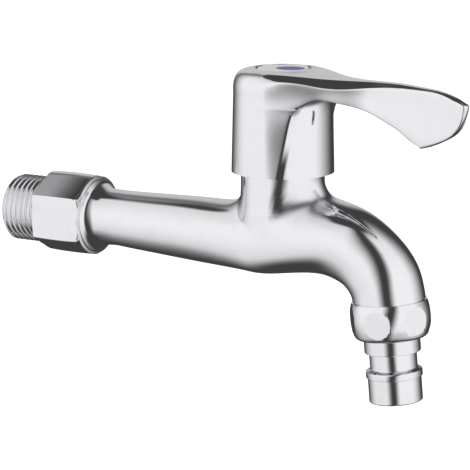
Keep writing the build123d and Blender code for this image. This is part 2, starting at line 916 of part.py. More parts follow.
# Nozzle gasket
with BuildPart() as nozzle_gasket:
    add(
        ring(
            outlet_plane(nozzle_top),
            spigot_bore_r,
            nozzle_flange_r,
            nozzle_gasket_thickness,
        )
    )

nozzle_gasket.part.label = "nozzle_gasket"
export_step(nozzle_gasket.part, "parts/nozzle_gasket.step")

# Nozzle strainer, a disc with rows of holes
row_pitch = strainer_hole_pitch * math.sin(math.radians(60))
rows = math.floor(nozzle_bore_r / row_pitch)
hole_centres = []
for row in range(-rows, rows + 1):
    shift = strainer_hole_pitch / 2 * (row % 2)
    for column in range(-rows, rows + 1):
        centre = (column * strainer_hole_pitch + shift, row * row_pitch)
        if math.hypot(*centre) < nozzle_bore_r - strainer_hole_r:
            hole_centres.append(centre)

with BuildPart() as nozzle_strainer:
    with BuildSketch(outlet_plane(nozzle_top)):
        Circle(strainer_r)
        with Locations(*hole_centres):
            Circle(strainer_hole_r, mode=Mode.SUBTRACT)
    extrude(amount=-strainer_thickness)

nozzle_strainer.part.label = "nozzle_strainer"
export_step(nozzle_strainer.part, "parts/nozzle_strainer.step")
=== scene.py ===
"""Wall-mounted garden tap: chromed casting, bell handle with a lever, outlet nut, hose nozzle.

The scene is in metres, +Z up. The origin is the centre of the inlet shoulder, and +X points away
from the wall. The classes of the pieces hold their sizes in millimetres and degrees.
"""

import json
import logging
import math
from collections.abc import Sequence
from dataclasses import dataclass
from enum import Enum

import bmesh
import bpy
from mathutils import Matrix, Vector


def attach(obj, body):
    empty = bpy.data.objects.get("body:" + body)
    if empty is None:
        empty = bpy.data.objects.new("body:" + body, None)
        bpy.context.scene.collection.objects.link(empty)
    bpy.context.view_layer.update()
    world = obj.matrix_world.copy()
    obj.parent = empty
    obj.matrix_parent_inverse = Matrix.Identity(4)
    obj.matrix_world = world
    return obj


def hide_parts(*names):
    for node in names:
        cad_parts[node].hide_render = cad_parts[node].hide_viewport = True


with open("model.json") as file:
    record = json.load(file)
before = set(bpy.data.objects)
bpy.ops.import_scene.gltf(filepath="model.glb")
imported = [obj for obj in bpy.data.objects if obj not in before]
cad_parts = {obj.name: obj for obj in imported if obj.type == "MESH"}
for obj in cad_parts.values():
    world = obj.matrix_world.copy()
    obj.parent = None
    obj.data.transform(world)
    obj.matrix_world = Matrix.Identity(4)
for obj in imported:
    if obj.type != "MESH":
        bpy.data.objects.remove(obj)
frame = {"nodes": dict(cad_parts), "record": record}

MM = 0.001
NEAR = 0.01  # millimetres within which a corner counts as drawn there
FINE = 0.002  # millimetres within which corners merge
log = logging.getLogger("tap")

Colour = tuple[float, float, float, float]
Pairs = tuple[tuple[float, float], ...]
Spot = tuple[float, float, float]


class Value:
    """A node's output, used in expressions that add Math nodes."""

    def __init__(self, tree: bpy.types.NodeTree, socket: bpy.types.NodeSocket) -> None:
        """Wraps one output socket of a tree."""
        self.tree = tree
        self.socket = socket

    def math(self, operation: str, *others: "Value | float", first: bool = True) -> "Value":
        """Adds a Math node.

        Args:
            operation: the Math node's operation.
            others: what follows this value, or comes before it.
            first: whether this value is the first operand.

        Returns:
            The node's result.
        """
        node = self.tree.nodes.new("ShaderNodeMath")
        node.operation = operation
        operands = [self, *others] if first else [*others, self]
        for plug, operand in zip(node.inputs, operands):
            if isinstance(operand, Value):
                self.tree.links.new(operand.socket, plug)
            else:
                plug.default_value = operand
        return Value(self.tree, node.outputs[0])

    def __add__(self, other: "Value | float") -> "Value":
        """This value plus another."""
        return self.math("ADD", other)

    def __radd__(self, other: float) -> "Value":
        """A number plus this value."""
        return self.math("ADD", other, first=False)

    def __sub__(self, other: "Value | float") -> "Value":
        """This value less another."""
        return self.math("SUBTRACT", other)

    def __rsub__(self, other: float) -> "Value":
        """A number less this value."""
        return self.math("SUBTRACT", other, first=False)

    def __mul__(self, other: "Value | float") -> "Value":
        """This value times another."""
        return self.math("MULTIPLY", other)

    def __rmul__(self, other: float) -> "Value":
        """A number times this value."""
        return self.math("MULTIPLY", other, first=False)

    def __truediv__(self, other: "Value | float") -> "Value":
        """This value divided by another."""
        return self.math("DIVIDE", other)

    def __neg__(self) -> "Value":
        """This value with its sign changed."""
        return self.math("MULTIPLY", -1.0)

    def __abs__(self) -> "Value":
        """This value without its sign."""
        return self.math("ABSOLUTE")


class Shader:
    """One node tree, filled in node by node."""

    def __init__(self, tree: bpy.types.NodeTree) -> None:
        """Empties the tree."""
        self.tree = tree
        tree.nodes.clear()

    def node(
        self,
        kind: str,
        settings: dict[str, object] | None = None,
        sockets: dict[str | int, object] | None = None,
        output: str | int = 0,
    ) -> Value:
        """Adds a node.

        Args:
            kind: the node's type, without its ShaderNode prefix.
            settings: the node's own properties, set first.
            sockets: values or links, by the input's name or number.
            output: the output that is wanted.

        Returns:
            That output.
        """
        made = self.tree.nodes.new("ShaderNode" + kind)
        for name, setting in (settings or {}).items():
            setattr(made, name, setting)
        for plug, value in (sockets or {}).items():
            if isinstance(value, Value):
                self.tree.links.new(value.socket, made.inputs[plug])
            else:
                made.inputs[plug].default_value = value
        return Value(self.tree, made.outputs[output])

    def place(self) -> Value:
        """The surface's own coordinates, in metres."""
        return self.node("TexCoord", output="Object")

    def axes(self, vector: Value) -> list[Value]:
        """The three components of a vector."""
        return [self.node("SeparateXYZ", sockets={0: vector}, output=name) for name in "XYZ"]

    def step(self, value: Value, low: float, high: float) -> Value:
        """Rises smoothly from 0 to 1.

        Args:
            value: what it depends on.
            low: where it is 0.
            high: where it is 1, on either side of low.

        Returns:
            The share.
        """
        limits = {"Value": value, "From Min": low, "From Max": high}
        return self.node("MapRange", {"interpolation_type": "SMOOTHSTEP"}, limits)

    def noise(self, vector: Value, scale: float, detail: float) -> Value:
        """Noise between 0 and 1, its scale in cells per metre."""
        return self.node("TexNoise", sockets={"Vector": vector, "Scale": scale, "Detail": detail})

    def blend(self, share: Value, first: Colour | Value, second: Colour | Value) -> Value:
        """Mixes two colours, the second by a share."""
        sockets = {"Factor": share, 6: first, 7: second}
        return self.node("Mix", {"data_type": "RGBA"}, sockets, output=2)

    def coat(self, colour: Value, metallic: float, roughness: Value, relief: Value, height: float) -> None:
        """Ends the tree in a glossy surface.

        Args:
            colour: its base colour.
            metallic: 1 for a metal.
            roughness: its roughness.
            relief: its fine relief, from 0 to 1.
            height: how high that relief is, in metres.
        """
        bump = self.node("Bump", sockets={"Strength": 1.0, "Distance": height, "Height": relief})
        sockets = {"Base Color": colour, "Metallic": metallic, "Roughness": roughness, "Normal": bump}
        self.surface(self.node("BsdfPrincipled", sockets=sockets))

    def surface(self, shader: Value) -> None:
        """Ends the tree.

        Args:
            shader: what its surface shows.
        """
        name = "World" if isinstance(self.tree.id_data, bpy.types.World) else "Material"
        end = self.tree.nodes.new("ShaderNodeOutput" + name)
        self.tree.links.new(shader.socket, end.inputs["Surface"])


def new_material(name: str) -> tuple[bpy.types.Material, Shader]:
    """A new material and its emptied tree.

    Args:
        name: the material's name.

    Returns:
        Both of them.
    """
    material = bpy.data.materials.new(name)
    material.use_nodes = True
    return material, Shader(material.node_tree)


@dataclass(frozen=True)
class Chrome:
    """Polished chrome over brass or zinc, its lengths in metres.

    Attributes:
        name: the material's name.
        tint: reflected colour.
        spot_tint: share of it that the dull spots reflect.
        gloss: lowest roughness.
        haze: how much rougher the dull spots are.
        haze_scale: dull spots per metre.
        haze_from: noise at which a dull spot begins.
        haze_to: noise at which it is fully dull.
        ripple: height of the slow waves that polishing leaves.
        ripple_scale: waves per metre.
        hollow_x: place of the axis of a duller hollow whose colour is painted dark as shade.
        hollow_r: radius of that hollow, or 0 for none.
        hollow_top: height where it ends.
        hollow_edge: width over which it begins.
        hollow_top_edge: height over which it ends.
        painted_hollow_shade: near-black colour painted in it as shade.
        hollow_haze: how much rougher it is there.
        crook: middle of a crook that a polishing wheel hardly reaches, for its +Y half.
        crook_r: how far its duller polish goes, or 0 for none.
        crook_core: share of that radius where it is dullest.
        crook_haze: how much rougher it is there.
        shoulder: where the duller shoulder behind the hexagon begins and ends.
        shoulder_edge: width over which it does.
        shoulder_haze: how much rougher it is there, or 0 for none.
    """

    name: str
    tint: Colour = (0.865, 0.868, 0.892, 1.0)
    spot_tint: float = 0.97
    gloss: float = 0.045
    haze: float = 0.03
    haze_scale: float = 260.0
    haze_from: float = 0.45
    haze_to: float = 0.75
    ripple: float = 1.2e-5
    ripple_scale: float = 90.0
    hollow_x: float = 0.0832
    hollow_r: float = 0.0
    hollow_top: float = 0.0475
    hollow_edge: float = 0.0003
    hollow_top_edge: float = 0.001
    painted_hollow_shade: Colour = (0.10, 0.10, 0.105, 1.0)
    hollow_haze: float = 0.4
    crook: Spot = (0.094, 0.0055, 0.0095)
    crook_r: float = 0.0
    crook_core: float = 0.5
    crook_haze: float = 0.22
    shoulder: tuple[float, float] = (0.0155, 0.0184)
    shoulder_edge: float = 0.0005
    shoulder_haze: float = 0.0

    def make(self) -> bpy.types.Material:
        """Builds the material.

        Returns:
            The material.
        """
        material, shader = new_material(self.name)
        place = shader.place()
        spots = shader.step(shader.noise(place, self.haze_scale, 4.0), self.haze_from, self.haze_to)
        spot_tint = tuple(self.spot_tint * part for part in self.tint[:3]) + (1.0,)
        colour = shader.blend(spots, self.tint, spot_tint)
        rough = self.gloss + spots * self.haze
        east, north, up = shader.axes(place)
        if self.hollow_r:
            inside = self.inside(shader, east, north, up)
            # painted shade: the hollow inside the bell is darkened to a near-black colour, and it is also
            # made rougher
            colour = shader.blend(inside, colour, self.painted_hollow_shade)
            rough = rough + inside * self.hollow_haze
        if self.crook_r:
            rough = rough + self.in_crook(shader, east, north, up) * self.crook_haze
        if self.shoulder_haze:
            rough = rough + self.on_shoulder(shader, east) * self.shoulder_haze
        shader.coat(colour, 1.0, rough, shader.noise(place, self.ripple_scale, 1.0), self.ripple)
        return material

    def inside(self, shader: Shader, east: Value, north: Value, up: Value) -> Value:
        """Finds the duller hollow, whose colour is painted dark as shade.

        Args:
            shader: the tree.
            east: the place's X.
            north: its Y.
            up: its Z.

        Returns:
            1 in the hollow and 0 on the chromed outside.
        """
        off = east - self.hollow_x
        radius = (off * off + north * north).math("SQRT")
        below = shader.step(up, self.hollow_top, self.hollow_top - self.hollow_top_edge)
        return shader.step(radius, self.hollow_r, self.hollow_r - self.hollow_edge) * below

    def in_crook(self, shader: Shader, east: Value, north: Value, up: Value) -> Value:
        """Finds the crook, on both sides of the middle plane.

        Args:
            shader: the tree.
            east: the place's X.
            north: its Y.
            up: its Z.

        Returns:
            1 in the middle of the crook and 0 away from it.
        """
        off, side, rise = east - self.crook[0], abs(north) - self.crook[1], up - self.crook[2]
        distance = (off * off + side * side + rise * rise).math("SQRT")
        return shader.step(distance, self.crook_r, self.crook_r * self.crook_core)

    def on_shoulder(self, shader: Shader, east: Value) -> Value:
        """Finds the shoulder.

        Args:
            shader: the tree.
            east: the place's X.

        Returns:
            1 on the shoulder and 0 away from it.
        """
        start, end = self.shoulder
        after = shader.step(east, start, start + self.shoulder_edge)
        return after * shader.step(east, end, end - self.shoulder_edge)


@dataclass(frozen=True)
class Plain:
    """A moulded, machined or cast finish with a mottled colour and a fine grain.

    Attributes:
        name: the material's name.
        light: the lighter colour.
        dark: the darker colour.
        metallic: 1 for a bare metal.
        gloss: lowest roughness.
        haze: how much rougher the dull spots are.
        mottle_scale: spots of colour per metre.
        grain: height of the grain, in metres.
        grain_scale: grains per metre.
    """

    name: str
    light: Colour
    dark: Colour
    metallic: float
    gloss: float
    haze: float = 0.12
    mottle_scale: float = 180.0
    grain: float = 2.0e-5
    grain_scale: float = 2500.0

    def make(self) -> bpy.types.Material:
        """Builds the material.

        Returns:
            The material.
        """
        material, shader = new_material(self.name)
        place = shader.place()
        colour = shader.blend(shader.noise(place, self.mottle_scale, 4.0), self.dark, self.light)
        grain = shader.noise(place, self.grain_scale, 2.0)
        shader.coat(colour, self.metallic, self.gloss + grain * self.haze, grain, self.grain)
        return material


class Finish(Enum):
    """The tap's finishes, each named after its slot in the record."""

    chromed_casting = Chrome(
        "chromed_casting", gloss=0.03, haze=0.025, ripple=0.8e-5, crook_r=0.011, shoulder_haze=0.16
    )
    # the handle's bore and pocket are painted dark as shade
    chromed_handle = Chrome("chromed_handle", ripple=0.8e-5, hollow_r=0.0142)
    chromed_turning = Chrome("chromed_turning", ripple=0.4e-5)
    brass = Plain("brass", (0.80, 0.60, 0.28, 1.0), (0.66, 0.46, 0.19, 1.0), 1.0, 0.22)
    rubber = Plain("rubber", (0.035, 0.035, 0.037, 1.0), (0.015, 0.015, 0.016, 1.0), 0.0, 0.55)
    white_plastic = Plain("white_plastic", (0.82, 0.81, 0.78, 1.0), (0.74, 0.73, 0.70, 1.0), 0.0, 0.38)
    spring_steel = Plain("spring_steel", (0.52, 0.53, 0.55, 1.0), (0.42, 0.43, 0.45, 1.0), 1.0, 0.24)
    stainless_sheet = Plain("stainless_sheet", (0.66, 0.66, 0.65, 1.0), (0.56, 0.56, 0.55, 1.0), 1.0, 0.2)
    ceramic = Plain("ceramic", (0.86, 0.84, 0.78, 1.0), (0.80, 0.77, 0.70, 1.0), 0.0, 0.16)
    button_plastic = Plain("button_plastic", (0.60, 0.61, 0.63, 1.0), (0.55, 0.56, 0.58, 1.0), 0.0, 0.18)
    mark_plastic = Plain("mark_plastic", (0.075, 0.065, 0.27, 1.0), (0.055, 0.05, 0.22, 1.0), 0.0, 0.35)


@dataclass(frozen=True)
class SoftBox:
    """A lit panel of the tent, in degrees: heading 0 faces -Y and 90 faces +X.

    Attributes:
        left: heading of the middle of its left edge.
        left_fade: width of that edge.
        right: heading of the middle of its right edge.
        right_fade: width of that edge.
        low: elevation of the middle of its lower edge.
        low_fade: width of that edge.
        high: elevation of the middle of its upper edge.
        high_fade: width of that edge.
        level: brightness, where 1 is white.
        left_lean: how far the left edge leans to the right, in degrees per degree of rise.
        right_lean: the same for the right edge.
        droop: how much lower the upper edge is where it has come all the way down.
        dim: how fast the level falls with the square of the degrees above or below its middle.
        middle: elevation where it is brightest.
    """

    left: float
    left_fade: float
    right: float
    right_fade: float
    low: float
    low_fade: float
    high: float
    high_fade: float
    level: float
    left_lean: float = 0.0
    right_lean: float = 0.0
    droop: float = 0.0
    dim: float = 0.0
    middle: float = 12.0


@dataclass
class Studio:
    """Camera, floor, lamps and the tent of soft boxes that the chrome mirrors, in metres and degrees.

    Attributes:
        target: the point that the camera looks at.
        azimuth: the camera's heading round it, where 0 is -Y and 90 is +X.
        elevation: how far the camera looks down.
        distance: from the target to the camera.
        lens: focal length in millimetres.
        sensor: the sensor's width in millimetres.
        clip: the nearest and the farthest that the camera sees.
        sky_fill: the world's level for what isn't polished.
        tent_radius: the tent's radius.
        tent_dark: level between the soft boxes.
        lean_from: elevation where a leaning edge has its own heading.
        droop_from: heading where an upper edge begins to droop.
        droop_to: heading where it has come all the way down.
        boxes: the soft boxes.
        floor_drop: how far the floor is below the origin.
        floor_size: its side.
        floor_paint: its colour.
        floor_glow: its own light.
        floor_seen: how much more of it the camera and mirrors see.
        lamps: name, azimuth, elevation and watts of each lamp.
        lamp_size: side of a lamp.
        lamp_distance: from the target to a lamp.
    """

    target: Spot = (0.06672, 0.0, -0.00122)
    azimuth: float = 29.88
    elevation: float = 11.88
    distance: float = 0.6888
    lens: float = 173.8
    sensor: float = 36.0
    clip: tuple[float, float] = (0.01, 50.0)
    sky_fill: float = 0.55
    tent_radius: float = 1.6
    tent_dark: float = 0.055
    lean_from: float = -10.0
    droop_from: float = -64.0
    droop_to: float = -104.0
    boxes: tuple[SoftBox, ...] = (
        SoftBox(-98, 75, 4, 28, -54, 38, 66, 8, 0.98, -0.15, 0.25, droop=14, dim=1.0e-4),
        SoftBox(39, 24, 134, 70, -46, 44, 64, 12, 0.99, left_lean=0.25, dim=5.0e-5),
        SoftBox(-168, 16, -132, 16, 0, 16, 42, 26, 0.58),
    )
    floor_drop: float = 0.30
    floor_size: float = 12.0
    floor_paint: Colour = (0.85, 0.85, 0.85, 1.0)
    floor_glow: float = 0.45
    floor_seen: float = 0.22
    lamps: tuple[tuple[str, float, float, float], ...] = (("key", -35, 40, 9.0), ("fill", 80, 25, 4.0))
    lamp_size: float = 0.8
    lamp_distance: float = 1.1

    def build(self) -> None:
        """Sets up everything round the tap."""
        self.point_camera()
        self.light_world()
        self.lay_floor()
        self.hang_tent()
        self.hang_lamps()
        bpy.context.scene.view_settings.view_transform = "Standard"

    def aim(self, holder: bpy.types.Object, azimuth: float, elevation: float, distance: float) -> None:
        """Puts a camera or lamp round the target, facing it.

        Args:
            holder: its object.
            azimuth: its heading from the target.
            elevation: how far above the target it is, in degrees.
            distance: how far away it is.
        """
        heading, rise = math.radians(azimuth), math.radians(elevation)
        flat = math.cos(rise)
        back = Vector((math.sin(heading) * flat, -math.cos(heading) * flat, math.sin(rise)))
        holder.location = Vector(self.target) + back * distance
        holder.rotation_euler = (-back).to_track_quat("-Z", "Y").to_euler()
        bpy.context.scene.collection.objects.link(holder)

    def point_camera(self) -> None:
        """Puts the camera where the photograph was taken."""
        lens = bpy.data.cameras.new("camera")
        lens.lens = self.lens
        lens.sensor_width = self.sensor
        lens.clip_start, lens.clip_end = self.clip
        camera = bpy.data.objects.new("camera", lens)
        self.aim(camera, self.azimuth, self.elevation, self.distance)
        bpy.context.scene.camera = camera

    def light_world(self) -> None:
        """White behind the tap and in its reflections, a plain level elsewhere."""
        world = bpy.data.worlds.new("studio")
        bpy.context.scene.world = world
        world.use_nodes = True
        shader = Shader(world.node_tree)
        level = self.sky_fill + self.seen_directly(shader) * (1.0 - self.sky_fill)
        shader.surface(shader.node("Background", sockets={"Color": (1, 1, 1, 1), "Strength": level}))

    def seen_directly(self, shader: Shader) -> Value:
        """Tells what the camera, mirrors and glass see.

        Args:
            shader: the tree.

        Returns:
            1 for camera, glossy and transmission rays, and 0 for the others.
        """
        kinds = ("Camera", "Glossy", "Transmission")
        camera, glossy, through = (shader.node("LightPath", output=f"Is {kind} Ray") for kind in kinds)
        return (camera + glossy + through).math("MINIMUM", 1.0)

    def lay_floor(self) -> None:
        """A plain pale floor below the tap."""
        deselect()
        bpy.ops.mesh.primitive_plane_add(size=self.floor_size, location=(0, 0, -self.floor_drop))
        floor = bpy.context.object
        floor.name = "floor"
        material, shader = new_material("floor")
        paint = shader.node("BsdfDiffuse", sockets={"Color": self.floor_paint})
        level = self.floor_glow + self.seen_directly(shader) * self.floor_seen
        glow = shader.node("Emission", sockets={"Strength": level})
        shader.surface(shader.node("AddShader", sockets={0: paint, 1: glow}))
        floor.data.materials.append(material)
        floor.visible_glossy = False

    def hang_tent(self) -> None:
        """The dome of soft boxes, seen only in reflections."""
        deselect()
        bpy.ops.mesh.primitive_uv_sphere_add(
            segments=48, ring_count=24, radius=self.tent_radius, location=self.target
        )
        tent = bpy.context.object
        tent.name = "tent"
        material, shader = new_material("tent")
        east, north, up = shader.axes(shader.place())
        heading = east.math("ARCTAN2", -north) * math.degrees(1)
        rise = (up / self.tent_radius).math("ARCSINE") * math.degrees(1)
        glow: Value | float = self.tent_dark
        for box in self.boxes:
            glow = glow + self.box_glow(shader, heading, rise, box)
        shader.surface(shader.node("Emission", sockets={"Strength": glow}))
        tent.data.materials.append(material)
        material.cycles.emission_sampling = "NONE"
        tent.visible_camera = False
        tent.visible_diffuse = False
        tent.visible_shadow = False

    def box_glow(self, shader: Shader, heading: Value, rise: Value, box: SoftBox) -> Value:
        """Brightness that one soft box adds.

        Args:
            shader: the tree.
            heading: the heading that is seen, in degrees.
            rise: its elevation, in degrees.
            box: the soft box.

        Returns:
            What it adds to the tent's dark level.
        """
        climb = rise - self.lean_from
        from_left = heading - climb * box.left_lean
        from_right = heading - climb * box.right_lean
        left = shader.step(from_left, box.left - box.left_fade / 2, box.left + box.left_fade / 2)
        right = shader.step(from_right, box.right + box.right_fade / 2, box.right - box.right_fade / 2)
        low = shader.step(rise, box.low - box.low_fade / 2, box.low + box.low_fade / 2)
        crest = rise + shader.step(heading, self.droop_from, self.droop_to) * box.droop
        high = shader.step(crest, box.high + box.high_fade / 2, box.high - box.high_fade / 2)
        off = rise - box.middle
        level = (1.0 - off * off * box.dim) * box.level - self.tent_dark
        return left * right * low * high * level

    def hang_lamps(self) -> None:
        """Soft lamps, which light only what isn't polished."""
        for name, azimuth, elevation, power in self.lamps:
            lamp = bpy.data.lights.new(name, "AREA")
            lamp.energy = power
            lamp.size = self.lamp_size
            holder = bpy.data.objects.new(name, lamp)
            holder.visible_glossy = False
            self.aim(holder, azimuth, elevation, self.lamp_distance)


def at(points: Pairs, place: float) -> float:
    """Reads a drawn line.

    Args:
        points: its (place, height) pairs.
        place: where to read it.

    Returns:
        The height there, or that of the nearer end.
    """
    if place <= points[0][0]:
        return points[0][1]
    for (near, low), (far, high) in zip(points, points[1:]):
        if place <= far:
            return low + (high - low) * (place - near) / (far - near)
    return points[-1][1]


def deselect() -> None:
    """Leaves nothing selected."""
    bpy.ops.object.select_all(action="DESELECT")


def pick(piece: bpy.types.Object) -> None:
    """Makes a piece the only selected one and the active one.

    Args:
        piece: the piece.
    """
    deselect()
    piece.select_set(True)
    bpy.context.view_layer.objects.active = piece


def open_mesh(piece: bpy.types.Object) -> None:
    """Opens a piece's mesh with all of it selected.

    Args:
        piece: the piece.
    """
    pick(piece)
    bpy.ops.object.mode_set(mode="EDIT")
    bpy.ops.mesh.select_all(action="SELECT")


def close_mesh() -> None:
    """Turns the open mesh's faces outwards and closes it."""
    bpy.ops.mesh.select_all(action="SELECT")
    bpy.ops.mesh.normals_make_consistent(inside=False)
    bpy.ops.object.mode_set(mode="OBJECT")


def weld(width: float) -> None:
    """Merges the open mesh's corners within a width in millimetres, and the faces that leaves empty."""
    bpy.ops.mesh.remove_doubles(threshold=width * MM)
    bpy.ops.mesh.dissolve_degenerate(threshold=width / 2 * MM)


def open_circle(name: str, points: int) -> bpy.types.Object:
    """Adds a small circle and opens its mesh.

    Args:
        name: the piece's name.
        points: how many points the circle has.

    Returns:
        The piece.
    """
    deselect()
    bpy.ops.mesh.primitive_circle_add(vertices=points, radius=MM, location=(0, 0, 0))
    piece = bpy.context.object
    piece.name = piece.data.name = name
    bpy.ops.object.mode_set(mode="EDIT")
    return piece


def apply(piece: bpy.types.Object, modifier: str) -> None:
    """Applies one modifier of a piece."""
    pick(piece)
    bpy.ops.object.modifier_apply(modifier=modifier)


class Pick(Enum):
    """What a selection in a cage is made of."""

    FACES = "FACE"
    EDGES = "EDGE"


class Keep(Enum):
    """Which side of a cutting tool stays."""

    OUTSIDE = "DIFFERENCE"
    INSIDE = "INTERSECT"


class Cage:
    """A mesh drawn through points of its finished surface, in millimetres, then smoothed."""

    def __init__(self, name: str, ring: Sequence[Vector]) -> None:
        """Starts with one open ring.

        Args:
            name: the piece's name.
            ring: the ring's points, in order.
        """
        self.piece = open_circle(name, len(ring))
        bpy.ops.mesh.select_mode(type="VERT")
        bpy.ops.mesh.select_all(action="SELECT")
        self.drawn = [vert.co / MM for vert in self.mesh.verts]
        self.shift(ring)

    @property
    def mesh(self) -> bmesh.types.BMesh:
        """The mesh in edit mode."""
        return bmesh.from_edit_mesh(self.piece.data)

    def shift(self, points: Sequence[Vector]) -> None:
        """Moves the selected points from where they were drawn to new places.

        Args:
            points: the places, in the order of drawing.
        """
        for vert in self.mesh.verts:
            if vert.select:
                spot = vert.co / MM
                nearest = min(range(len(self.drawn)), key=lambda i: (self.drawn[i] - spot).length)
                vert.co = points[nearest] * MM
        bmesh.update_edit_mesh(self.piece.data)
        self.drawn = list(points)

    def extrude(self, points: Sequence[Vector]) -> None:
        """Extrudes what is selected to new places."""
        bpy.ops.mesh.extrude_region_move()
        self.shift(points)

    def select(self, points: Sequence[Vector], kind: Pick) -> None:
        """Selects what has all its corners among the points.

        Args:
            points: the points.
            kind: whether faces or edges are meant.
        """
        bpy.ops.mesh.select_mode(type=kind.value)
        bpy.ops.mesh.select_all(action="DESELECT")
        mesh = self.mesh
        close = {vert for vert in mesh.verts if self.near(vert, points)}
        for part in mesh.faces if kind is Pick.FACES else mesh.edges:
            part.select_set(all(vert in close for vert in part.verts))
        bmesh.update_edit_mesh(self.piece.data)
        self.drawn = list(points)

    def near(self, vert: bmesh.types.BMVert, points: Sequence[Vector]) -> bool:
        """Whether a vertex is at one of the points."""
        return any((vert.co / MM - point).length < NEAR for point in points)

    def crease(self, points: Sequence[Vector], sharpness: float) -> None:
        """Sharpens the edges that run from point to point."""
        self.select(points, Pick.EDGES)
        bpy.ops.transform.edge_crease(value=sharpness)

    def cap(self) -> None:
        """Fills the selected ring."""
        bpy.ops.mesh.edge_face_add()

    def cap_first(self) -> None:
        """Fills the first ring and selects it, to draw on from there."""
        self.cap()
        bpy.ops.mesh.select_all(action="SELECT")

    def finish(self) -> bpy.types.Object:
        """Leaves the cage as drawn."""
        close_mesh()
        return self.piece

    def smooth(self, levels: int, rounds: int = 12) -> bpy.types.Object:
        """Smooths the cage so that its surface passes through the drawn points.

        Args:
            levels: how many times each face is divided.
            rounds: how often the points are moved to bring the surface nearer.

        Returns:
            The smoothed piece.
        """
        close_mesh()
        modifier = self.piece.modifiers.new("smooth", "SUBSURF")
        modifier.levels = modifier.render_levels = 1
        modifier.use_limit_surface = True
        wanted = [vert.co.copy() for vert in self.piece.data.vertices]
        for _ in range(rounds):
            smoothed = self.piece.evaluated_get(bpy.context.evaluated_depsgraph_get()).data
            reached = [smoothed.vertices[index].co.copy() for index in range(len(wanted))]
            for vert, want, got in zip(self.piece.data.vertices, wanted, reached):
                vert.co += want - got
            self.piece.data.update()
        modifier.levels = modifier.render_levels = levels
        apply(self.piece, "smooth")
        return self.piece


def smooth_faces(piece: bpy.types.Object, angle: float = 32.0) -> None:
    """Shades a piece smooth, apart from edges sharper than an angle in degrees."""
    pick(piece)
    bpy.ops.object.shade_smooth_by_angle(angle=math.radians(angle))


def turned(
    name: str,
    profile: Pairs,
    centre: Vector,
    axis: Vector,
    sides: int = 96,
) -> bpy.types.Object:
    """Turns a closed profile round an axis.

    Args:
        name: the piece's name.
        profile: (radius, distance along the axis) pairs, in millimetres.
        centre: the point that distances start from, in millimetres.
        axis: the axis's direction.
        sides: facets all round.

    Returns:
        The turned piece.
    """
    along = axis.normalized()
    aside = along.orthogonal().normalized()
    piece = open_circle(name, len(profile))
    mesh = bmesh.from_edit_mesh(piece.data)
    for vert, (radius, distance) in zip(mesh.verts, profile, strict=True):
        vert.co = (centre + aside * radius + along * distance) * MM
    bmesh.update_edit_mesh(piece.data)
    bpy.ops.mesh.select_all(action="SELECT")
    bpy.ops.mesh.spin(
        steps=sides, angle=2 * math.pi, center=centre * MM, axis=along, use_auto_merge=True
    )
    bpy.ops.mesh.select_all(action="SELECT")
    weld(FINE)
    close_mesh()
    return piece


def turn_mesh(piece: bpy.types.Object, centre: Vector, axis: Vector, angle: float) -> None:
    """Turns a piece's mesh.

    Args:
        piece: the piece.
        centre: a point of the axis, in millimetres.
        axis: the axis's direction.
        angle: degrees, anticlockwise when the axis points at the viewer.
    """
    open_mesh(piece)
    name = "XYZ"[max(range(3), key=lambda i: abs(axis[i]))]
    bpy.ops.transform.rotate(
        value=-math.radians(angle), orient_axis=name, center_override=centre * MM
    )
    bpy.ops.object.mode_set(mode="OBJECT")


def cut(piece: bpy.types.Object, tool: bpy.types.Object, keep: Keep = Keep.OUTSIDE) -> None:
    """Cuts one piece with another, which is used up.

    Args:
        piece: the piece that stays.
        tool: the other one.
        keep: which side of the tool stays.
    """
    modifier = piece.modifiers.new("cut", "BOOLEAN")
    modifier.operation = keep.value
    modifier.solver = "EXACT"
    modifier.object = tool
    apply(piece, "cut")
    bpy.data.objects.remove(tool)


def round_edges(piece: bpy.types.Object, width: float, angle: float = 25.0, facets: int = 3) -> None:
    """Rounds a piece's sharp edges and shades its flat faces flat.

    Args:
        piece: the piece.
        width: size of the rounds, in millimetres.
        angle: degrees from which an edge is sharp.
        facets: facets of each round.
    """
    bevel = piece.modifiers.new("bevel", "BEVEL")
    bevel.width = width * MM
    bevel.segments = facets
    bevel.limit_method = "ANGLE"
    bevel.angle_limit = math.radians(angle)
    apply(piece, "bevel")
    weigh_normals(piece)


def merge_slivers(piece: bpy.types.Object, width: float = 0.02) -> None:
    """Merges the sliver faces that a cut leaves.

    Args:
        piece: the piece.
        width: how wide they are at most, in millimetres.
    """
    open_mesh(piece)
    weld(width)
    close_mesh()


def weigh_normals(piece: bpy.types.Object, angle: float = 40.0, weight: int = 80) -> None:
    """Shades a piece smooth, with its broad faces flat.

    Args:
        piece: the piece.
        angle: degrees up to which an edge is smooth.
        weight: how much the broad faces count, where 50 is as much as the others.
    """
    smooth_faces(piece, angle)
    weights = piece.modifiers.new("weights", "WEIGHTED_NORMAL")
    weights.keep_sharp = True
    weights.weight = weight
    apply(piece, "weights")


def across(half: Sequence[Vector]) -> list[Vector]:
    """Mirrors half a row, given from its -Y end to its middle, and joins both halves."""
    return [*half, *(Vector((p.x, -p.y, p.z)) for p in reversed(half[:-1]))]


def around(half: Sequence[Vector]) -> list[Vector]:
    """Mirrors half a ring, both of whose ends lie in the middle plane, and joins both halves."""
    return [*half, *(Vector((p.x, -p.y, p.z)) for p in reversed(half[1:-1]))]


VALVE = Vector((83.2, 0.0, 0.0))
OUTLET = Vector((118.9, 0.0, -14.9))
DOWN = Vector((0.09237, 0.0, -0.99573))
INLET = Vector((0.0, 0.0, 0.0))
OUTWARDS = Vector((1.0, 0.0, 0.0))
UP = Vector((0.0, 0.0, 1.0))
EIGHTHS = tuple(math.radians(22.5 * step) for step in range(9))  # the nine points of half a ring


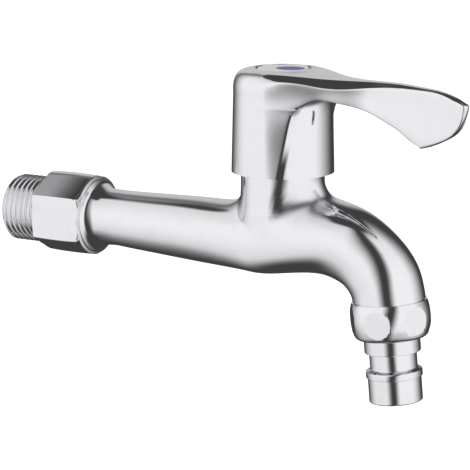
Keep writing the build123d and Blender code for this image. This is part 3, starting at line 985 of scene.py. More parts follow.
@dataclass
class LeverHandle:
    """Bell handle with its lever, distances from the valve axis and heights in millimetres.

    Half rows and grids run from the -Y side to the middle plane. Headings are in degrees, where 0
    faces -Y and 90 faces the lever.

    Attributes:
        rim_z: height of the bell's rim.
        rim_r: radius at the rim.
        draft: how much the radius shrinks per millimetre of height.
        shoulder: round between the bell and its deck.
        shoulder_z: height where the bell's radius is taken for that round.
        deck_z: height of the deck round the button.
        deck_fall: how much the deck falls per millimetre of radius.
        recess_r: radius of the button's recess.
        recess_lead: chamfer at its edge.
        button_floor: height of its floor.
        bore_r: radius of the bell's bore.
        bore_lead: chamfer at its edge.
        hub_z: height of the hub's lower end, where the bore ends.
        hub_r: radius of the hub.
        pocket_r: radius of the pocket round the hub.
        pocket_z: height of the pocket's end.
        bush_r: radius of the hub's bore.
        screw_r: radius of the screw's hole.
        screw_floor: thickness of what the screw holds, below the recess's floor.
        seat_r: radius of the seat of the screw's head.
        seat_depth: its depth.
        past: how far the cutter reaches past the piece.
        step: height of the pocket's edge over the bore's end.
        back: headings of the bell's back half.
        side: heading of the next point below the deck.
        deck_side: heading of the next point on the deck.
        levels: heights of the bell's rows below the lever.
        web: headings of the web's edge at those rows.
        web_proud: how far the web stands out there.
        web_foot: headings where the web meets the bell again.
        beside: heights of the first two rows beside the lever's root.
        raised: radius and height of the next two rows, at heading 0 and at the side point.
        root: points of the four rows where the lever leaves the bell.
        deck_r: radii of the deck's inner rows.
        deck_front: radii of all its rows towards the lever.
        front_fall: headings of the points there, and how much the deck falls.
        turn: how far the lever is turned towards -Y at rest, in degrees.
        half_width: the lever's half width along its length.
        shares: shares of it where a row has its points.
        top: height of its top along its length.
        crown: shares of the top's half width, and how much higher the top is there.
        band_drop: height of the slanted band along its top edges.
        band_in: width of that band.
        low_in: width of the lower corner's edge.
        low_rise: how much higher the points of the lower row are.
        spans: its sections, each the top's distance and the lower edge's distance and height.
        face_end: end of its flat face, from the lower corner up.
        brow: the face's top row, each point's distance, share of the half width, and height.
        rim_end: the outermost points of its end.
        tip_shares: shares of the half width where the end has its points.
        rim_crease: sharpness of the bell's rim.
        web_crease: sharpness of the web's edge.
        foot_crease: sharpness of the line where the web meets the bell.
        low_crease: sharpness of the lever's lower corner.
        band_creases: rows of the band's two edges, and their sharpness.
    """

    rim_z: float = 20.2
    rim_r: float = 15.37
    draft: float = 0.0206
    shoulder: float = 4.2
    shoulder_z: float = 46.5
    deck_z: float = 51.0
    deck_fall: float = 0.1045
    recess_r: float = 8.05
    recess_lead: float = 0.25
    button_floor: float = 49.4
    bore_r: float = 13.7
    bore_lead: float = 0.4
    hub_z: float = 35.25
    hub_r: float = 8.4
    pocket_r: float = 12.4
    pocket_z: float = 44.5
    bush_r: float = 6.7
    screw_r: float = 2.2
    screw_floor: float = 3.0
    seat_r: float = 5.0
    seat_depth: float = 1.4
    past: float = 2.0
    step: float = 0.01
    back: tuple[float, ...] = (-90.0, -67.5, -45.0, -22.5, 0.0)
    side: float = 14.5
    deck_side: float = 17.0
    levels: tuple[float, ...] = (20.2, 20.8, 24.5, 29.0, 33.5, 37.3, 40.0)
    web: tuple[float, ...] = (25.0, 25.4, 28.6, 32.8, 36.7, 40.2, 44.4)
    web_proud: tuple[float, ...] = (0.0, 0.0, 0.03, 0.13, 0.36, 0.8, 1.4)
    web_foot: tuple[float, ...] = (34.0, 34.3, 37.5, 42.0, 46.0, 50.0, 54.0)
    beside: tuple[float, float] = (41.0, 43.8)
    raised: tuple[Pairs, Pairs] = (((14.82, 46.9), (13.3, 49.7)), ((14.78, 48.0), (12.9, 50.3)))
    root: tuple[tuple[Spot, ...], ...] = (
        ((12.6, -11.35, 41.3), (13.0, -9.0, 42.0), (14.7, -5.2, 42.3), (15.6, 0, 42.4)),
        ((12.0, -11.35, 44.4), (13.2, -8.6, 44.4), (14.8, -5.0, 44.4), (15.5, 0, 44.4)),
        ((11.6, -11.35, 48.3), (13.4, -8.0, 48.4), (14.6, -4.5, 48.5), (15.0, 0, 48.6)),
        ((11.9, -8.5, 50.0), (13.2, -5.9, 50.05), (14.2, -3.1, 50.05), (14.6, 0, 50.05)),
    )
    deck_r: tuple[float, ...] = (9.6, 8.3)
    deck_front: tuple[float, ...] = (11.7, 9.8, 8.3)
    front_fall: Pairs = ((42.0, 0.17), (61.0, 0.2), (76.0, 0.2), (90.0, 0.2))
    turn: float = 4.3
    half_width: Pairs = (
        (4.6, 14.3), (8.0, 13.0), (12.0, 11.45), (14.5, 10.4), (18.0, 8.8), (22.0, 7.3),
        (27.0, 5.7), (31.0, 4.4), (36.0, 3.5), (44.0, 2.6), (50.0, 2.1), (57.0, 1.75),
        (62.0, 1.6),
    )
    shares: tuple[float, ...] = (1.0, 0.7, 0.35, 0.0)
    top: Pairs = (
        (11.0, 50.15), (16.2, 49.6), (21.3, 49.3), (30.3, 49.35), (34.6, 49.4), (38.8, 49.38),
        (42.9, 49.2), (47.0, 48.85), (51.0, 48.4), (55.1, 47.75), (57.2, 47.25), (59.2, 46.55),
    )
    crown: Pairs = ((1.0, 0.0), (0.67, 0.05), (0.33, 0.08), (0.0, 0.1))
    band_drop: Pairs = (
        (14.5, 2.0), (22.0, 2.2), (27.0, 2.05), (31.0, 1.55), (36.0, 1.15), (44.0, 0.85),
        (50.0, 0.68), (57.0, 0.62),
    )
    band_in: Pairs = (
        (14.5, 3.2), (22.0, 3.5), (27.0, 3.4), (31.0, 2.75), (36.0, 2.0), (44.0, 1.45),
        (50.0, 1.2), (57.0, 1.1),
    )
    low_in: float = 1.5
    low_rise: tuple[float, ...] = (0.0, 0.15, 0.2, 0.2)
    spans: tuple[Spot, ...] = (
        (18.0, 17.8, 43.5), (24.5, 24.0, 43.0), (32.0, 30.5, 41.5), (40.0, 36.4, 38.9),
        (48.0, 41.5, 36.3), (54.5, 45.6, 33.5),
    )
    face_end: Pairs = ((48.4, 32.2), (57.0, 36.7), (60.3, 44.0), (60.2, 45.4))
    brow: tuple[Spot, ...] = (
        (60.2, 0.85, 45.4), (59.6, 0.45, 46.0), (59.6, 0.22, 46.05), (59.6, 0.0, 46.05),
    )
    rim_end: Pairs = ((49.6, 31.9), (58.0, 36.5), (61.9, 43.7), (61.6, 44.8))
    tip_shares: tuple[float, ...] = (0.72, 0.42, 0.2, 0.0)
    rim_crease: float = 1.0
    web_crease: float = 0.75
    foot_crease: float = 0.5
    low_crease: float = 0.15
    band_creases: tuple[tuple[int, float], ...] = ((2, 0.5), (3, 0.8))

    def build(self) -> bpy.types.Object:
        """Models the handle.

        Returns:
            The handle.
        """
        rows = [*self.wall_rows(), *self.root_rows(), *self.deck_rows()]
        cage = self.bell(rows)
        end = self.lever(cage, rows)
        self.sharpen(cage, rows, end)
        piece = cage.smooth(levels=3)
        cut(piece, self.hollow())
        turn_mesh(piece, VALVE, UP, -self.turn)
        smooth_faces(piece)
        return piece

    def bell_r(self, height: float) -> float:
        """Radius of the bell at a height."""
        return self.rim_r - self.draft * (height - self.rim_z)

    def spot(self, heading: float, radius: float, height: float) -> Vector:
        """A point by its heading."""
        turn = math.radians(heading)
        return VALVE + Vector((radius * math.sin(turn), -radius * math.cos(turn), height))

    def wall_rows(self) -> list[list[Vector]]:
        """Draws the bell below the lever.

        Returns:
            Its half rows, from the rim up.
        """
        rows = []
        for height, web, proud, foot in zip(self.levels, self.web, self.web_proud, self.web_foot):
            radius = self.bell_r(height)
            row = [self.spot(heading, radius, height) for heading in (*self.back, self.side)]
            row.append(self.spot(web, radius + proud, height))
            row += [self.spot(heading, radius, height) for heading in (foot, (foot + 90.0) / 2, 90.0)]
            rows.append(row)
        return rows

    def root_rows(self) -> list[list[Vector]]:
        """Draws the bell beside the lever, over most of the round.

        Returns:
            Four half rows, each ending in the points where the lever leaves the bell.
        """
        wall_r = self.bell_r(self.shoulder_z)
        centre_r = wall_r - self.shoulder
        deck = self.deck_z - self.deck_fall * (centre_r - self.recess_r)
        centre_z = deck - self.shoulder * math.hypot(1.0, self.deck_fall)
        turn = math.radians(45)
        first = [(self.bell_r(height), height) for height in self.beside]
        slant = (centre_r + self.shoulder * math.cos(turn), centre_z + self.shoulder * math.sin(turn))
        behind = [*first, (wall_r, centre_z), slant]
        near = [[*first, *raised] for raised in self.raised]
        rows = []
        for index, lever in enumerate(self.root):
            row = [self.spot(heading, *behind[index]) for heading in self.back[:-1]]
            headings = (self.back[-1], self.side)
            row += [self.spot(heading, *line[index]) for heading, line in zip(headings, near)]
            rows.append(row + [VALVE + Vector(point) for point in lever])
        return rows

    def deck_rows(self) -> list[list[Vector]]:
        """Draws the deck.

        Returns:
            Its half rows, from the round to the recess.
        """
        lean = math.atan(self.deck_fall)
        over = self.bell_r(self.shoulder_z) - self.shoulder + self.shoulder * math.sin(lean)
        rows = []
        for radius, front in zip((over, *self.deck_r), self.deck_front):
            height = self.deck_z - self.deck_fall * (radius - self.recess_r)
            row = [self.spot(heading, radius, height) for heading in (*self.back, self.deck_side)]
            for heading, fall in self.front_fall:
                row.append(self.spot(heading, front, self.deck_z - (front - self.deck_front[-1]) * fall))
            rows.append(row)
        return rows

    def bell(self, rows: Sequence[Sequence[Vector]]) -> Cage:
        """Draws the whole bell, closed at its rim and a little below the deck.

        Args:
            rows: its half rows.

        Returns:
            Its cage.
        """
        rings = [around(row) for row in rows]
        cage = Cage("lever_handle", rings[0])
        for ring in rings[1:]:
            cage.extrude(ring)
        cage.extrude([point - UP for point in rings[-1]])
        cage.cap()
        cage.select(rings[0], Pick.EDGES)
        cage.cap()
        return cage

    def grid(self, rows: Sequence[Sequence[Vector]]) -> list[Vector]:
        """A grid of lever points, each row mirrored from its half."""
        return [point for half in rows for point in across(half)]

    def row(self, x: float, z: float, width: float) -> list[Vector]:
        """A half row of the lever's flat sides."""
        return [VALVE + Vector((x, -width * share, z)) for share in self.shares]

    def section(self, top_x: float, low_x: float, low_z: float) -> list[list[Vector]]:
        """Draws one section of the lever.

        Args:
            top_x: distance of its top.
            low_x: distance of its lower corner.
            low_z: height of that corner.

        Returns:
            Its half rows: the lower corner, the middle, the band's lower edge and its upper edge.
        """
        top_z = at(self.top, top_x)
        band = 1 - at(self.band_drop, top_x) / math.hypot(top_x - low_x, top_z - low_z)
        width = at(self.half_width, low_x)
        places = (width, width - self.low_in, width / 2, 0)
        rows = [[VALVE + Vector((low_x, -y, low_z + rise)) for y, rise in zip(places, self.low_rise)]]
        for share in (0.5 * band, band):
            x, z = low_x + (top_x - low_x) * share, low_z + (top_z - low_z) * share
            width = at(self.half_width, x)
            rows.append(self.row(x, z, width))
        flat = width - at(self.band_in, top_x)
        rows.append([VALVE + Vector((top_x, -flat * share, top_z + rise)) for share, rise in self.crown])
        return rows

    def lever(self, cage: Cage, rows: Sequence[Sequence[Vector]]) -> list[list[Vector]]:
        """Draws the lever out of the bell's front.

        Args:
            cage: the bell's cage.
            rows: its half rows.

        Returns:
            The half rows where the lever's flat face ends.
        """
        first = len(self.levels)
        root = [row[6:] for row in rows[first : first + len(self.root)]]
        cage.select(self.grid(root), Pick.FACES)
        for span in self.spans:
            cage.extrude(self.grid(self.section(*span)))
        end = [self.row(x, z, at(self.half_width, x)) for x, z in self.face_end[:-1]]
        width = at(self.half_width, self.brow[-1][0])
        end.append([VALVE + Vector((x, -width * share, z)) for x, share, z in self.brow])
        cage.extrude(self.grid(end))
        tip = []
        for (x, z), (face_x, face_z) in zip(self.rim_end, self.face_end):
            width = at(self.half_width, x)
            row = []
            for share in self.tip_shares:
                depth = math.sqrt(1 - share**2)
                place = (face_x + (x - face_x) * depth, -width * share, face_z + (z - face_z) * depth)
                row.append(VALVE + Vector(place))
            tip.append(row)
        cage.extrude(self.grid(tip))
        return end

    def sharpen(
        self, cage: Cage, rows: Sequence[Sequence[Vector]], end: Sequence[Sequence[Vector]]
    ) -> None:
        """Sharpens the rim, and on both sides the web's and the lever's edges.

        Args:
            cage: the handle's cage.
            rows: the bell's half rows.
            end: the half rows where the lever's flat face ends.
        """
        first = len(self.levels)
        sections = [self.section(*span) for span in self.spans]
        lines = [
            ([row[6] for row in rows[: first + 1]], self.web_crease),
            ([row[7] for row in rows[:first]], self.foot_crease),
            ([rows[first][6], *(section[0][0] for section in sections)], self.low_crease),
        ]
        for level, sharpness in self.band_creases:
            line = [*rows[first + level][5:7], *(section[level][0] for section in sections)]
            lines.append(([*line, end[level][0]], sharpness))
        cage.crease(around(rows[0]), self.rim_crease)
        for side in (1, -1):
            for line, sharpness in lines:
                cage.crease([Vector((p.x, p.y * side, p.z)) for p in line], sharpness)

    def hollow(self) -> bpy.types.Object:
        """Models what is cut out of the bell.

        Returns:
            Its bore, the pocket round the hub, the hub's bore, the screw's hole and the recess.
        """
        low, floor, high = self.rim_z - self.past, self.button_floor, self.deck_z - self.recess_lead
        profile = (
            (0.0, low),
            (self.bore_r + self.bore_lead + self.past, low),
            (self.bore_r, self.rim_z + self.bore_lead),
            (self.bore_r, self.hub_z),
            (self.pocket_r, self.hub_z + self.step),
            (self.pocket_r, self.pocket_z),
            (self.hub_r, self.pocket_z),
            (self.hub_r, self.hub_z + self.step),
            (self.bush_r, self.hub_z),
            (self.bush_r, floor - self.screw_floor),
            (self.screw_r, floor - self.screw_floor),
            (self.screw_r, floor - self.seat_depth),
            (self.seat_r, floor - self.seat_depth),
            (self.seat_r, floor),
            (self.recess_r, floor),
            (self.recess_r, high),
            (self.recess_r + self.past, high + self.past),
            (0.0, high + self.past),
        )
        return turned("hollow", profile, VALVE, UP)


@dataclass
class Casting:
    """Cast body from the hexagon to the outlet, in millimetres.

    Attributes:
        root: (place along the arm, radius) pairs of the fillet at the hexagon.
        arm: places of the arm's rings.
        arm_start: place where the arm begins to widen.
        arm_reach: length over which it widens.
        arm_r: its half height at the start.
        arm_growth: how much more that is after the reach.
        arm_wider: how much wider than high it is there.
        arm_sag: how much lower its middle is there.
        saddle: middle of the hollow between neck and spout, which is evened out.
        saddle_rounds: distances from there, and how often the surface within is evened out.
        chamber: rings through the valve chamber, from the top over the -Y side to the bottom.
        blend: ring of the fillet between chamber and neck, from its -X side to its +X side.
        neck: heights of the ring above it.
        neck_r: the neck's radius at the height of the tap's axis.
        neck_draft: how much the radius shrinks per millimetre of height.
        neck_top: height of the neck's top.
        bore_r: radius of the bore for the headwork.
        bore_past: how far its cutter reaches past the top.
        seat_z: height of the bore's floor.
        path: control points of the spout's centre line.
        stations: places of its rings along that line.
        outlet_r: radius of the spout's end.
        bulge_wide: how much wider the spout is in the chamber.
        bulge_tall: how much taller it is there.
        bulge_end: share of the line where the spout is down to the end's radius.
        spigot_r: radius of the spigot under the nut.
        spigot: its length.
        waterway_r: radius of the waterway in it.
        waterway_depth: how far the waterway reaches up from the spout's shoulder.
    """

    root: Pairs = (
        (16.9, 11.3), (17.25, 11.6), (17.6, 11.42), (17.95, 10.9), (18.5, 10.22), (19.5, 9.66),
        (21.0, 9.08), (23.0, 8.8), (26.0, 8.72),
    )
    arm: tuple[float, ...] = (31.0, 42.0, 55.0)
    arm_start: float = 22.3
    arm_reach: float = 47.9
    arm_r: float = 8.55
    arm_growth: float = 2.0
    arm_wider: float = 0.65
    arm_sag: float = 0.9
    saddle: Spot = (94.0, 9.6, 10.0)
    saddle_rounds: tuple[tuple[float, int], ...] = ((9.5, 40), (7.6, 60), (5.7, 80))
    chamber: tuple[tuple[Spot, ...], ...] = (
        (
            (65.4, 0, 9.55), (67.5, -6.1, 7.9), (72.2, -9.6, 5.0), (71.0, -10.6, 3.0),
            (70.2, -11.2, -0.9), (70.2, -10.5, -5.0), (70.2, -8.3, -8.5), (70.2, -4.6, -10.45),
            (70.2, 0, -11.05),
        ),
        (
            (77.0, 0, 9.0), (77.0, -5.0, 8.5), (78.1, -11.8, 5.0), (77.3, -11.95, 2.0),
            (77.0, -12.35, -0.55), (77.0, -11.8, -5.4), (77.0, -9.1, -9.3), (77.0, -4.9, -10.7),
            (77.0, 0, -11.05),
        ),
        (
            (83.2, 0, 9.5), (83.2, -5.0, 9.0), (83.2, -12.83, 6.7), (83.2, -12.87, 3.2),
            (83.2, -12.9, -0.3), (83.2, -12.2, -5.2), (83.2, -9.3, -9.1), (83.2, -4.9, -10.35),
            (83.2, 0, -10.75),
        ),
        (
            (89.0, 0, 10.0), (89.0, -5.0, 9.5), (88.2, -11.85, 7.7), (88.4, -12.35, 4.4),
            (88.5, -12.62, 1.2), (89.33, -12.0, -3.7), (89.97, -9.2, -7.7), (90.37, -4.8, -9.35),
            (90.5, 0, -9.8),
        ),
        (
            (101.0, 0, 13.15), (99.0, -6.1, 11.7), (94.6, -9.75, 8.9), (97.0, -11.2, 6.1),
            (98.6, -11.85, 1.85), (97.8, -11.3, -2.7), (97.35, -8.8, -6.6), (97.05, -4.75, -8.75),
            (96.95, 0, -9.45),
        ),
    )
    blend: tuple[Spot, ...] = (
        (68.94, 0, 11.1), (70.4, -5.2, 9.7), (73.6, -9.2, 6.45), (78.2, -11.85, 7.7),
        (83.2, -12.82, 9.0), (88.15, -11.85, 9.8), (92.9, -9.25, 10.4), (96.2, -5.2, 13.9),
        (97.46, 0, 15.26),
    )
    neck: tuple[float, ...] = (14.6, 13.0, 10.8, 11.0, 11.8, 12.2, 13.5, 17.0, 18.8)
    neck_r: float = 12.8
    neck_draft: float = 0.0105
    neck_top: float = 22.0
    bore_r: float = 10.0
    bore_past: float = 2.0
    seat_z: float = 1.5
    path: Pairs = ((83.2, 0.0), (100.5, 6.5), (117.8, -3.05), (118.9, -14.9))
    stations: tuple[float, ...] = (0.45, 0.62, 0.76, 0.88, 1.0)
    outlet_r: float = 10.8
    bulge_wide: float = 2.1
    bulge_tall: float = 1.6
    bulge_end: float = 0.62
    spigot_r: float = 10.45
    spigot: float = 5.9
    waterway_r: float = 6.6
    waterway_depth: float = 6.0

    def build(self) -> bpy.types.Object:
        """Models the casting.

        Returns:
            The casting.
        """
        first, second, *rest = [self.half_ring(Vector((x, 0, 0)), UP, r, r) for x, r in self.root]
        cage = Cage("tap_casting", around(first))
        cage.cap_first()
        for half in (second, *rest, *map(self.arm_ring, self.arm), *self.chamber_rings()):
            cage.extrude(around(half))
        for station in self.stations:
            cage.extrude(around(self.spout_ring(station)))
        self.outlet(cage)
        self.draw_neck(cage)
        piece = cage.smooth(levels=3, rounds=3)
        self.even_saddle(piece)
        low, high = self.seat_z, self.neck_top + self.bore_past
        bore = ((0.0, low), (self.bore_r, low), (self.bore_r, high), (0.0, high))
        cut(piece, turned("bore", bore, VALVE, UP))
        smooth_faces(piece)
        return piece

    def even_saddle(self, piece: bpy.types.Object) -> None:
        """Evens out the hollow between neck and spout on both sides.

        Args:
            piece: the casting.
        """
        x, y, z = self.saddle
        spots = [Vector((x, side * y, z)) for side in (-1, 1)]
        open_mesh(piece)
        for radius, repeat in self.saddle_rounds:
            bpy.ops.mesh.select_mode(type="VERT")
            bpy.ops.mesh.select_all(action="DESELECT")
            mesh = bmesh.from_edit_mesh(piece.data)
            for vert in mesh.verts:
                vert.select_set(any((vert.co / MM - spot).length < radius for spot in spots))
            mesh.select_flush_mode()
            bmesh.update_edit_mesh(piece.data)
            bpy.ops.mesh.vertices_smooth(factor=0.5, repeat=repeat)
        bpy.ops.object.mode_set(mode="OBJECT")

    def half_ring(self, centre: Vector, upwards: Vector, wide: float, tall: float) -> list[Vector]:
        """Draws half an oval ring, from its top over the -Y side to its bottom.

        Args:
            centre: its centre.
            upwards: the direction of its top.
            wide: its half width.
            tall: its half height.

        Returns:
            The half ring.
        """
        return [
            centre + upwards * (tall * math.cos(turn)) + Vector((0, -wide * math.sin(turn), 0))
            for turn in EIGHTHS
        ]

    def arm_ring(self, place: float) -> list[Vector]:
        """Draws half a ring of the arm, which widens towards the chamber.

        Args:
            place: how far from the wall it is.

        Returns:
            The half ring.
        """
        share = (place - self.arm_start) / self.arm_reach
        tall = self.arm_r + self.arm_growth * share
        centre = Vector((place, 0, -self.arm_sag * share))
        return self.half_ring(centre, UP, tall + self.arm_wider * share**2, tall)

    def chamber_rings(self) -> list[list[Vector]]:
        """Half rings through the chamber."""
        return [[Vector(point) for point in half] for half in self.chamber]

    def spout_ring(self, share: float) -> list[Vector]:
        """Draws half a ring of the spout.

        Args:
            share: its place along the centre line, from 0 to 1.

        Returns:
            The half ring.
        """
        points = [Vector((x, 0.0, z)) for x, z in self.path]
        legs = [far - near for near, far in zip(points, points[1:])]
        rest = 1.0 - share
        centre = (
            points[0] * rest**3
            + points[1] * (3 * rest**2 * share)
            + points[2] * (3 * rest * share**2)
            + points[3] * share**3
        )
        along = (legs[0] * rest**2 + legs[1] * (2 * rest * share) + legs[2] * share**2).normalized()
        bulge = max(0.0, 1.0 - share / self.bulge_end)
        return self.half_ring(
            centre,
            Vector((-along.z, 0, along.x)),
            self.outlet_r + self.bulge_wide * bulge,
            self.outlet_r + self.bulge_tall * bulge,
        )

    def outlet(self, cage: Cage) -> None:
        """Ends the spout in its shoulder, the spigot under the nut, and the waterway.

        Args:
            cage: the casting's cage, with the spout's last ring selected.
        """
        upwards = Vector((-DOWN.z, 0, DOWN.x))
        shoulder = around(self.spout_ring(self.stations[-1]))
        ends = []
        for radius, drop in (
            (self.spigot_r, 0.0),
            (self.spigot_r, self.spigot),
            (self.waterway_r, self.spigot),
            (self.waterway_r, -self.waterway_depth),
        ):
            ends.append(around(self.half_ring(OUTLET + DOWN * drop, upwards, radius, radius)))
            cage.extrude(ends[-1])
        cage.cap()
        for ring in (shoulder, *ends):
            cage.crease(ring, 1.0)

    def neck_grid(self, edge: Sequence[Vector]) -> list[Vector]:
        """Draws a grid over the neck.

        Args:
            edge: half its outline, the -X side first.

        Returns:
            The grid's points.
        """
        height = sum(point.z for point in edge) / len(edge)
        middle = VALVE + UP * height

        def between(index: int) -> Vector:
            """Halfway from the outline to the middle."""
            return (edge[index] + middle) / 2

        rows = (
            (edge[2], edge[1], edge[0]),
            (edge[3], between(2), between(0)),
            (edge[4], between(4), middle),
            (edge[5], between(6), between(8)),
            (edge[6], edge[7], edge[8]),
        )
        return [point for row in rows for point in across(row)]

    def neck_edge(self, heights: Sequence[float]) -> list[Vector]:
        """Draws half the neck's outline.

        Args:
            heights: the heights of its points, the -X side first.

        Returns:
            The points.
        """
        edge = []
        for turn, height in zip(EIGHTHS, heights, strict=True):
            radius = self.neck_r - self.neck_draft * height
            edge.append(VALVE + Vector((-radius * math.cos(turn), -radius * math.sin(turn), height)))
        return edge

    def draw_neck(self, cage: Cage) -> None:
        """Draws the neck out of the chamber's top.

        Args:
            cage: the casting's cage.
        """
        patch = [point for half in self.chamber_rings() for point in across(half[2::-1])]
        cage.select(patch, Pick.FACES)
        cage.extrude(self.neck_grid([Vector(point) for point in self.blend]))
        cage.extrude(self.neck_grid(self.neck_edge(self.neck)))
        top = self.neck_edge([self.neck_top] * len(EIGHTHS))
        cage.extrude(self.neck_grid(top))
        cage.crease(around(top), 1.0)


@dataclass
class Hexagon:
    """Wrench hexagon at the wall, with slightly crowned flats, in millimetres.

    Attributes:
        half_flats: half its width across the upright flats.
        corner_z: height where an upright flat ends.
        top_r: radius of the round at its top and bottom.
        top_z: height of that round's centre.
        length: its length.
        overhang: how far it is drawn past both ends, before it is cut to the envelope.
        steps: rings along it.
        crown: share by which the flats fall off from their middle to both ends.
        envelope: (radius, place) pairs of what it is cut to.
        bore_r: radius of its bore.
        bore_from: place where the bore's cutter begins.
        bore_to: place where it ends.
        edge: round of its edges.
        smooth_to: degrees up to which its edges are shaded smooth.
    """

    half_flats: float = 11.8
    corner_z: float = 6.81
    top_r: float = 5.6
    top_z: float = 7.159
    length: float = 17.4
    overhang: float = 0.8
    steps: int = 10
    crown: float = 0.02
    envelope: Pairs = (
        (0.0, 0.0), (11.8, 0.0), (13.75, 0.38), (14.6, 1.6), (14.6, 14.9), (13.9, 15.85),
        (11.5, 17.3), (0.0, 17.3),
    )
    bore_r: float = 7.0
    bore_from: float = -1.0
    bore_to: float = 16.0
    edge: float = 0.22
    smooth_to: float = 28.0

    def build(self) -> bpy.types.Object:
        """Models the hexagon.

        Returns:
            The hexagon.
        """
        start, end = -self.overhang, self.length + self.overhang
        places = [start + (end - start) * step / self.steps for step in range(self.steps + 1)]
        cage = Cage("inlet_hexagon", self.section(places[0]))
        cage.cap_first()
        for place in places[1:]:
            cage.extrude(self.section(place))
        piece = cage.finish()
        round_edges(piece, self.edge)
        cut(piece, turned("envelope", self.envelope, INLET, OUTWARDS, sides=144), Keep.INSIDE)
        low, high = self.bore_from, self.bore_to
        bore = ((0.0, low), (self.bore_r, low), (self.bore_r, high), (0.0, high))
        cut(piece, turned("bore", bore, INLET, OUTWARDS))
        merge_slivers(piece)
        weigh_normals(piece, self.smooth_to)
        return piece

    def section(self, place: float) -> list[Vector]:
        """Draws the hexagon's outline, crowned towards the middle.

        Args:
            place: how far from the wall it is.

        Returns:
            The outline.
        """
        arc = [math.radians(60 + 10 * step) for step in range(7)]
        upper = [(self.top_r * math.cos(turn), self.top_z + self.top_r * math.sin(turn)) for turn in arc]
        lower = [(-y, -z) for y, z in upper]
        flats, corner = self.half_flats, self.corner_z
        outline = [(flats, corner), *upper, (-flats, corner), (-flats, -corner), *lower, (flats, -corner)]
        middle = self.length / 2
        size = 1.0 - self.crown * ((place - middle) / middle) ** 2
        return [Vector((place, y * size, z * size)) for y, z in outline]


@dataclass
class InletThread:
    """Rounded pipe thread, in millimetres.

    Attributes:
        pitch: distance from crest to crest.
        flank: (radius, place) pairs over half a pitch, from root to crest.
        start: place of the first crest.
        turns: how many pitches are wound up.
        sides: facets all round.
        length: how far the thread reaches towards the wall.
        inside: place in the hexagon where the wound form is cut off.
        lead: the chamfer at the wall-side end.
        past: how far the cutters reach past that end.
        clear: how far the envelope reaches over the crest, and into the hexagon.
        bore_r: radius of its bore.
        bore_lead: size of the bore's chamfer.
        bore_to: place where the bore ends.
        smooth_to: degrees up to which its edges are shaded smooth.
    """

    pitch: float = 1.814
    flank: Pairs = (
        (9.3155, -0.907), (9.3511, -0.779), (9.4495, -0.6861), (9.8965, -0.4535),
        (10.3435, -0.2209), (10.4419, -0.128), (10.4775, 0.0),
    )
    start: float = -15.5
    turns: int = 10
    sides: int = 72
    length: float = 13.0
    inside: float = 0.4
    lead: float = 1.1
    past: float = 1.0
    clear: float = 0.3
    bore_r: float = 7.0
    bore_lead: float = 1.5
    bore_to: float = 2.0
    smooth_to: float = 50.0

    def build(self) -> bpy.types.Object:
        """Models the thread: one pitch wound up, cut to length and chamfered.

        Returns:
            The thread.
        """
        piece = self.pitch_line()
        screw = piece.modifiers.new("screw", "SCREW")
        screw.axis = "Z"
        screw.angle = 2 * math.pi
        screw.screw_offset = self.pitch * MM
        screw.iterations = self.turns
        screw.steps = screw.render_steps = self.sides
        apply(piece, "screw")
        open_mesh(piece)
        bpy.ops.mesh.remove_doubles(threshold=0.002 * MM)
        bpy.ops.transform.rotate(value=-math.pi / 2, orient_axis="Y", center_override=(0, 0, 0))
        for place, outer in ((self.inside, True), (-self.length, False)):
            bpy.ops.mesh.select_all(action="SELECT")
            bpy.ops.mesh.bisect(
                plane_co=(place * MM, 0, 0),
                plane_no=(1, 0, 0),
                use_fill=True,
                clear_outer=outer,
                clear_inner=not outer,
            )
        close_mesh()
        self.trim(piece)
        smooth_faces(piece, self.smooth_to)
        return piece

    def pitch_line(self) -> bpy.types.Object:
        """Draws one pitch of the thread, from root to root.

        Returns:
            The line.
        """
        line = [*self.flank, *((radius, -place) for radius, place in reversed(self.flank[:-1]))]
        deselect()
        bpy.ops.mesh.primitive_grid_add(
            x_subdivisions=len(line) - 1, y_subdivisions=1, size=MM, location=(0, 0, 0)
        )
        piece = bpy.context.object
        piece.name = piece.data.name = "inlet_thread_form"
        bpy.ops.object.mode_set(mode="EDIT")
        mesh = bmesh.from_edit_mesh(piece.data)
        for vert in mesh.verts:
            vert.select_set(vert.co.y > 0)
        mesh.select_flush_mode()
        bmesh.update_edit_mesh(piece.data)
        bpy.ops.mesh.select_mode(type="VERT")
        bpy.ops.mesh.delete(type="VERT")
        mesh = bmesh.from_edit_mesh(piece.data)
        ordered = sorted(mesh.verts, key=lambda vert: vert.co.x)
        for vert, (radius, place) in zip(ordered, line, strict=True):
            vert.co = Vector((radius, 0.0, self.start + place)) * MM
        bmesh.update_edit_mesh(piece.data)
        bpy.ops.object.mode_set(mode="OBJECT")
        return piece

    def trim(self, piece: bpy.types.Object) -> None:
        """Chamfers the thread's end and bores it.

        Args:
            piece: the thread.
        """
        crest = self.flank[-1][0]
        end = -self.length
        envelope = (
            (0.0, end - self.past),
            (crest - self.lead, end - self.past),
            (crest - self.lead, end),
            (crest + self.clear, end + self.lead + self.clear),
            (crest + self.clear, self.clear),
            (0.0, self.clear),
        )
        cut(piece, turned("envelope", envelope, INLET, OUTWARDS, sides=self.sides), Keep.INSIDE)
        bore = (
            (0.0, end - self.past),
            (self.bore_r + self.bore_lead, end - self.past),
            (self.bore_r, end + self.bore_lead - self.past),
            (self.bore_r, self.bore_to),
            (0.0, self.bore_to),
        )
        cut(piece, turned("bore", bore, INLET, OUTWARDS))


